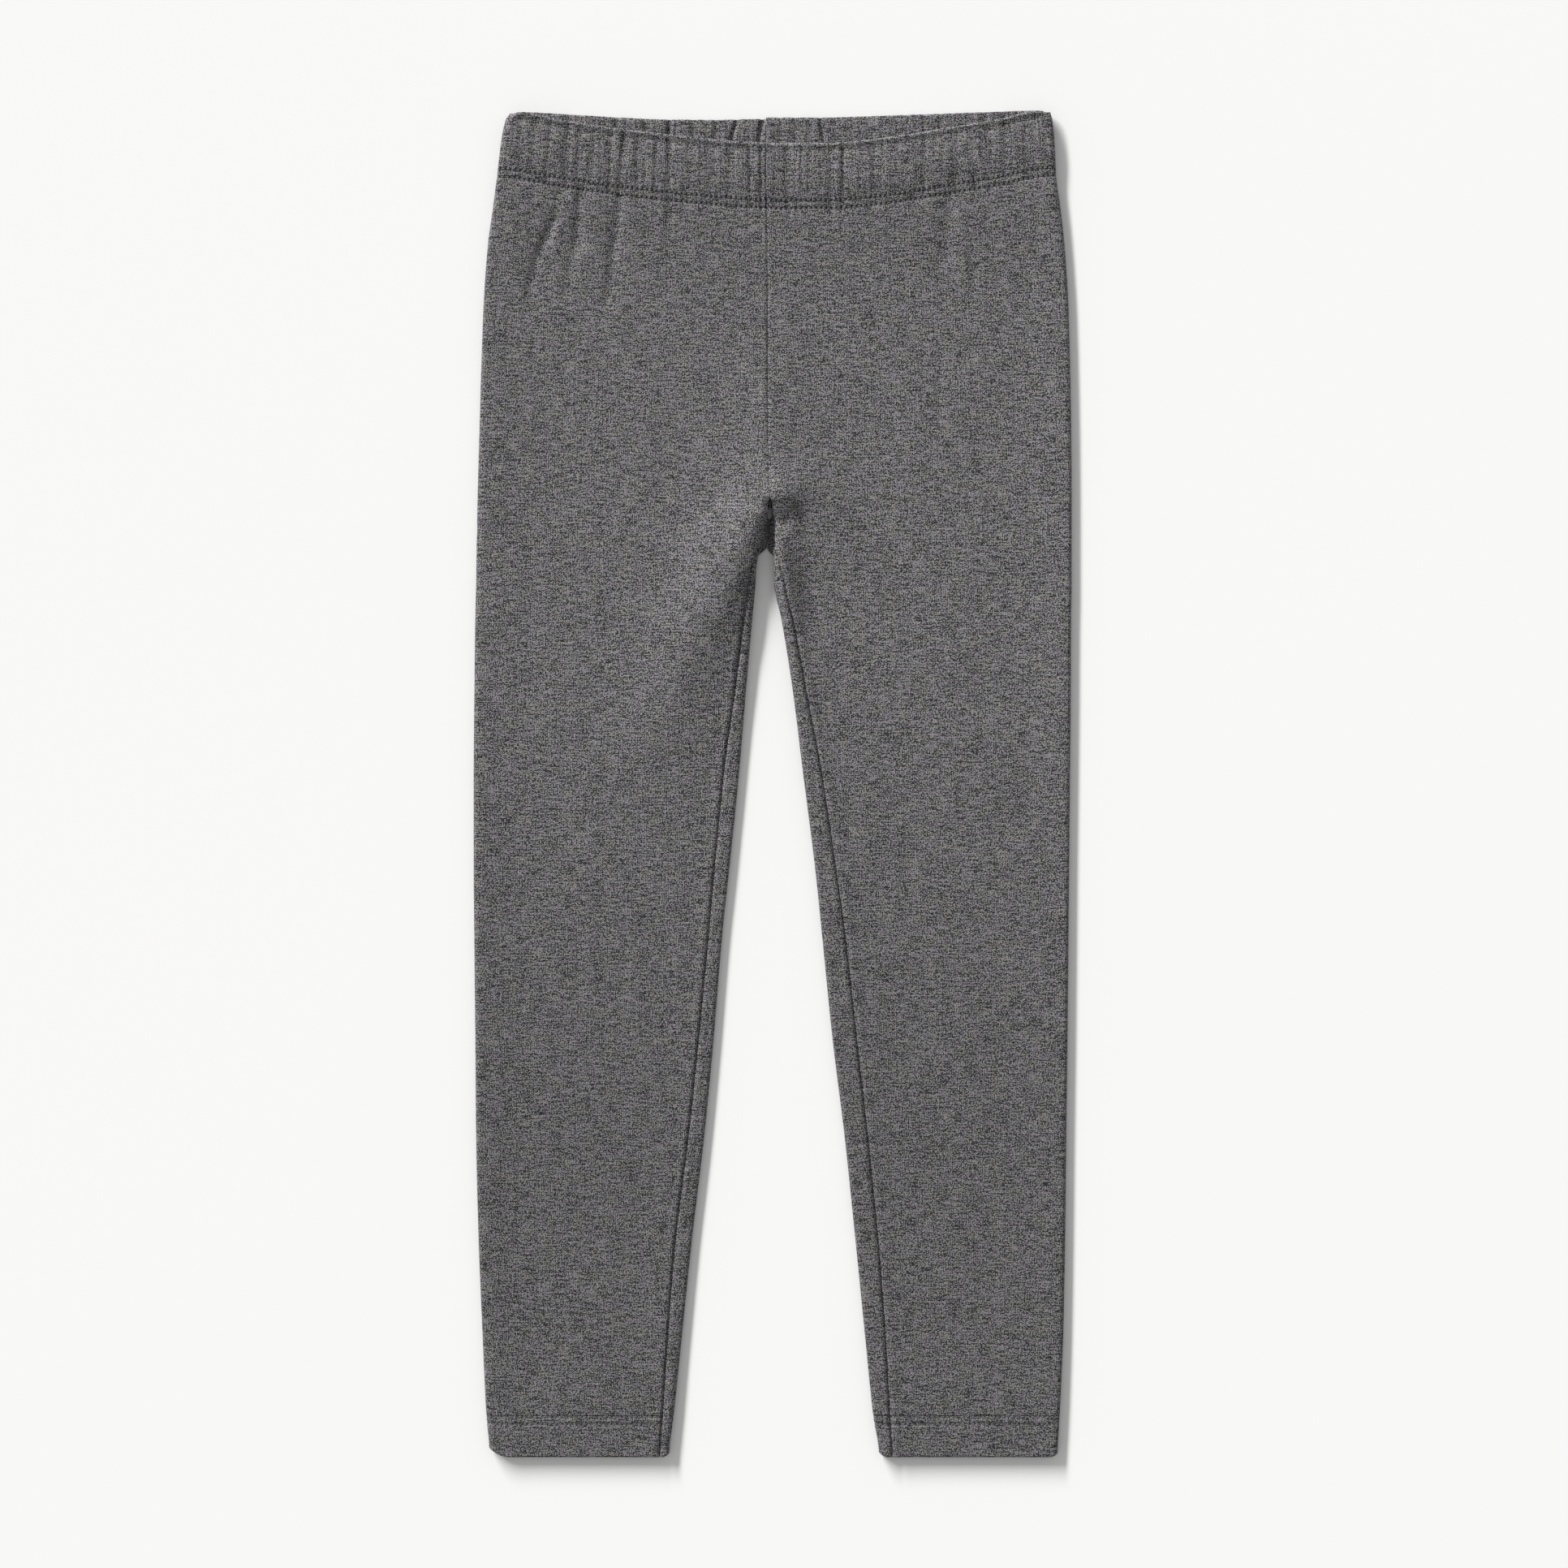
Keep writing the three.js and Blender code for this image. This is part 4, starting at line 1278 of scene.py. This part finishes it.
def marl(name, cloth, upright=0.15):
    """Knitted marl: level flecks of dark and light fibre, upright wales and streaks, and painted shade in the
    needle holes.

    It grows a little darker down the shins, as the photograph shows it: painted shade for the light that falls
    off towards the ankles.
    """
    nodes = Nodes(name)
    across, along, piece = nodes.attribute("knit")
    count, row_one, row_two = nodes.attribute("sewn")
    wale = cloth.wale / MM
    long_flecks = nodes.noise(nodes.vector(across * 0.14, along * 1.45, piece), 1.0, 0.0)
    short_flecks = nodes.noise(nodes.vector(across * 0.45, along * 1.9, piece + 31.7), 1.0, 0.0)
    loops = nodes.noise(nodes.vector(across * 1.6, along * 1.6, piece + 58.9), 1.0, 0.0)
    specks = nodes.noise(nodes.vector(across * 2.3, along * 2.3, piece + 5.3), 1.0, 0.0)
    streaks = nodes.noise(nodes.vector(across * 0.85, along * 0.06, piece + 11.1), 1.0, 1.0)
    clouds = nodes.noise(nodes.vector(across * 0.05, along * 0.11, piece + 77.0), 1.0, 2.0)
    sway = nodes.noise(nodes.vector(across * 0.02, along * 0.02, piece), 1.0, 0.0)
    rib = ((across * (2 * math.pi / wale)) + (sway - 0.5) * 14.0).sine()
    fibre = (long_flecks - 0.5) * 2.0 + (short_flecks - 0.5) * 0.8 + (loops - 0.5) * 4.6
    fibre = fibre + (specks - 0.5) * 4.0 + (clouds - 0.5) * 0.5 + (streaks - 0.5) * (4.0 * upright) + rib * 0.12
    share = (0.41 + fibre * 1.1).clamped()
    # painted shade: the needle holes along the rows of stitches are painted nearly black, for the shade that
    # falls into them
    beside = (count.fraction() - 0.5).size() - 0.5
    holes = beside.bell(0.24) * (row_one.bell(0.62) + row_two.bell(0.62))
    shade = holes * (0.3 + (along * 0.01 + 0.5).clamped()).clamped()
    shade = (shade * 1.8).clamped()
    tint = nodes.noise(nodes.vector(across * 0.13, along * 0.15, piece + 23.0), 1.0, 1.0)
    light = np.array(cloth.light_fibre)
    warm, cool = colour(light * (1.0, 1.015, 0.95)), colour(light * (1.0, 0.98, 1.03))
    light = nodes.mix(((tint - 0.42) * 6.0).clamped(), cool, warm)
    fibres = nodes.mix(share, colour(cloth.dark_fibre), light)
    # painted shade: the cloth is mixed up to 0.19 towards black from y = 60 down to the ankles, for the light
    # that falls off there
    fibres = nodes.mix(((60.0 - along) / 230.0).clamped() * 0.19, fibres, (0.0, 0.0, 0.0, 1.0))
    # the needle holes' painted shade, nearly black
    base = nodes.mix(shade, fibres, (0.005, 0.005, 0.005, 1.0))
    height = rib * 0.5 + (specks - 0.5) * 1.2 - holes * 3.0
    bump = nodes.add("ShaderNodeBump", Strength=0.55, Distance=0.00012, Height=height)
    return nodes.finish(Base_Color=base, Roughness=0.93, Normal=bump.outputs[0])


def thread_look(sewing):
    """Twisted thread, a little lighter and darker from stitch to stitch."""
    nodes = Nodes("thread")
    place = nodes.add("ShaderNodeTexCoord").outputs["Object"]
    twist = nodes.noise(place, 900.0, 1.0)
    thread = np.array(sewing.colour)
    base = nodes.mix(((twist - 0.3) * 1.6).clamped(), colour(0.5 * thread), colour(1.5 * thread))
    return nodes.finish(Base_Color=base, Roughness=0.8)


def floor_look(stage):
    """Plain pale matt paper, with the faintest unevenness."""
    nodes = Nodes("floor")
    place = nodes.add("ShaderNodeTexCoord").outputs["Object"]
    grain = nodes.noise(place, 3.0, 1.0)
    base = nodes.mix(grain, colour(stage.floor), colour(0.995 * np.array(stage.floor)))
    return nodes.finish(Base_Color=base, Roughness=0.9)


# Operators


def scene_settings():
    scene = bpy.context.scene
    return scene.leggings_marl, scene.leggings_sewing, scene.leggings_stage


def leg_seed(leg):
    return scene_settings()[2].seed + (0 if leg["side"] > 0 else 5)


def dress(piece, slot, material, *nodes):
    """Puts a material on a piece, rides it on the root body and hides the CAD parts of the nodes that it stands
    for. slot is not used.
    """
    piece.data.materials.append(material)
    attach(piece, "root")
    if nodes:
        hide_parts(*nodes)


class LEGGINGS_OT_leg_panels(bpy.types.Operator):
    """Lay both legs: front, outer fold, back and inner fold in one piece of jersey each"""

    bl_idname = "leggings.leg_panels"
    bl_label = "Leg panels"

    def execute(self, context):
        cloth, _, _ = scene_settings()
        look = marl("jersey", cloth)
        for leg in LEGS.values():
            piece = add_mesh("leg_cloth_" + leg["name"], *leg_panel(leg, cloth, leg_seed(leg)))
            dress(piece, "jersey", look, "leg_panel_" + leg["name"])
        return {"FINISHED"}


class LEGGINGS_OT_waistband(bpy.types.Operator):
    """Turn the top of both legs down over the elastic, gathered"""

    bl_idname = "leggings.waistband"
    bl_label = "Waistband"

    def execute(self, context):
        cloth, _, _ = scene_settings()
        look = marl("jersey_casing", cloth, upright=0.35)
        for leg in LEGS.values():
            piece = add_mesh("casing_cloth_" + leg["name"], *waistband(leg, cloth, leg_seed(leg)))
            dress(piece, "jersey_casing", look, "waistband_" + leg["name"])
        return {"FINISHED"}


class LEGGINGS_OT_hems(bpy.types.Operator):
    """Turn up both ankles"""

    bl_idname = "leggings.hems"
    bl_label = "Hems"

    def execute(self, context):
        cloth, _, _ = scene_settings()
        look = marl("jersey_hem", cloth)
        for leg in LEGS.values():
            piece = add_mesh("hem_cloth_" + leg["name"], *hem(leg, cloth, leg_seed(leg)))
            dress(piece, "jersey_hem", look, "hem_" + leg["name"])
        return {"FINISHED"}


class LEGGINGS_OT_stitches(bpy.types.Operator):
    """Sew two rows of stitches along the casing and round each ankle"""

    bl_idname = "leggings.stitches"
    bl_label = "Stitches"

    def execute(self, context):
        cloth, sewing, _ = scene_settings()
        look = thread_look(sewing)
        thread = sewing.thread / MM
        for name, lines_of in (("waist_stitches", waist_lines), ("hem_stitches", hem_lines)):
            for leg in LEGS.values():
                seed = leg_seed(leg)
                sewn = stitches(lines_of(leg, cloth, seed), thread, seed)
                piece = add_mesh(name + "_" + leg["name"], *sewn, {})
                dress(piece, "thread", look)
        return {"FINISHED"}


class LEGGINGS_OT_stage(bpy.types.Operator):
    """Lay the floor, hang the light and set the camera straight above"""

    bl_idname = "leggings.stage"
    bl_label = "Floor, light and camera"

    def execute(self, context):
        _, _, stage = scene_settings()
        scene = bpy.context.scene
        mesh = bpy.data.meshes.new("floor")
        signs = ((-1, -1), (1, -1), (1, 1), (-1, 1))
        corners = [(x * FLOOR_HALF, y * FLOOR_HALF, -FLOOR_DROP) for x, y in signs]
        mesh.from_pydata(corners, [], [(0, 1, 2, 3)])
        floor = bpy.data.objects.new("floor", mesh)
        scene.collection.objects.link(floor)
        mesh.materials.append(floor_look(stage))

        for up, share in zip(KEY_STRIP["up"], KEY_STRIP["share"]):
            place = Vector((-KEY_ACROSS, up, 1.0))
            key = bpy.data.lights.new("key", "SUN")
            key.energy = stage.key * share * place.length
            key.angle = math.radians(8)
            lamp = bpy.data.objects.new("key", key)
            lamp.rotation_euler = place.to_track_quat("Z", "Y").to_euler()
            scene.collection.objects.link(lamp)

        world = bpy.data.worlds.new("soft light")
        world.use_nodes = True
        world.node_tree.nodes["Background"].inputs["Color"].default_value = (1.0, 1.0, 1.0, 1.0)
        world.node_tree.nodes["Background"].inputs["Strength"].default_value = stage.sky
        scene.world = world
        scene.view_settings.view_transform = "Standard"

        camera = bpy.data.cameras.new("camera")
        camera.sensor_width = 36.0
        camera.lens = camera.sensor_width * (stage.height - 0.005) / (PHOTO_FIELD * MM)
        camera.clip_start, camera.clip_end = 0.01, 20.0
        view = bpy.data.objects.new("camera", camera)
        shift = to_frame(np.array([PHOTO_SHIFT, 0.0, 0.0]))
        view.location = (shift[0], shift[1], stage.height)
        scene.collection.objects.link(view)
        scene.camera = view
        return {"FINISHED"}


class LEGGINGS_PT_pieces(bpy.types.Panel):
    """The leggings' pieces and their settings"""

    bl_idname = "LEGGINGS_PT_pieces"
    bl_label = "Leggings"
    bl_space_type = "VIEW_3D"
    bl_region_type = "UI"
    bl_category = "Leggings"

    def draw(self, context):
        scene = context.scene
        for settings in (scene.leggings_marl, scene.leggings_sewing, scene.leggings_stage):
            box = self.layout.box()
            for name in settings.__annotations__:
                box.prop(settings, name)
        for operator in OPERATORS:
            self.layout.operator(operator.bl_idname)


SETTINGS = {
    "leggings_marl": MarlSettings,
    "leggings_sewing": SewingSettings,
    "leggings_stage": StageSettings,
}
OPERATORS = (
    LEGGINGS_OT_stage,
    LEGGINGS_OT_leg_panels,
    LEGGINGS_OT_waistband,
    LEGGINGS_OT_hems,
    LEGGINGS_OT_stitches,
)


def register():
    for cls in (*SETTINGS.values(), *OPERATORS, LEGGINGS_PT_pieces):
        bpy.utils.register_class(cls)
    for name, cls in SETTINGS.items():
        setattr(bpy.types.Scene, name, PointerProperty(type=cls))


def unregister():
    for name in SETTINGS:
        delattr(bpy.types.Scene, name)
    for cls in (LEGGINGS_PT_pieces, *OPERATORS, *SETTINGS.values()):
        bpy.utils.unregister_class(cls)


def main():
    """Makes the whole scene."""
    register()
    for operator in OPERATORS:
        group, name = operator.bl_idname.split(".")
        getattr(getattr(bpy.ops, group), name)()


if __name__ == "__main__":
    main()
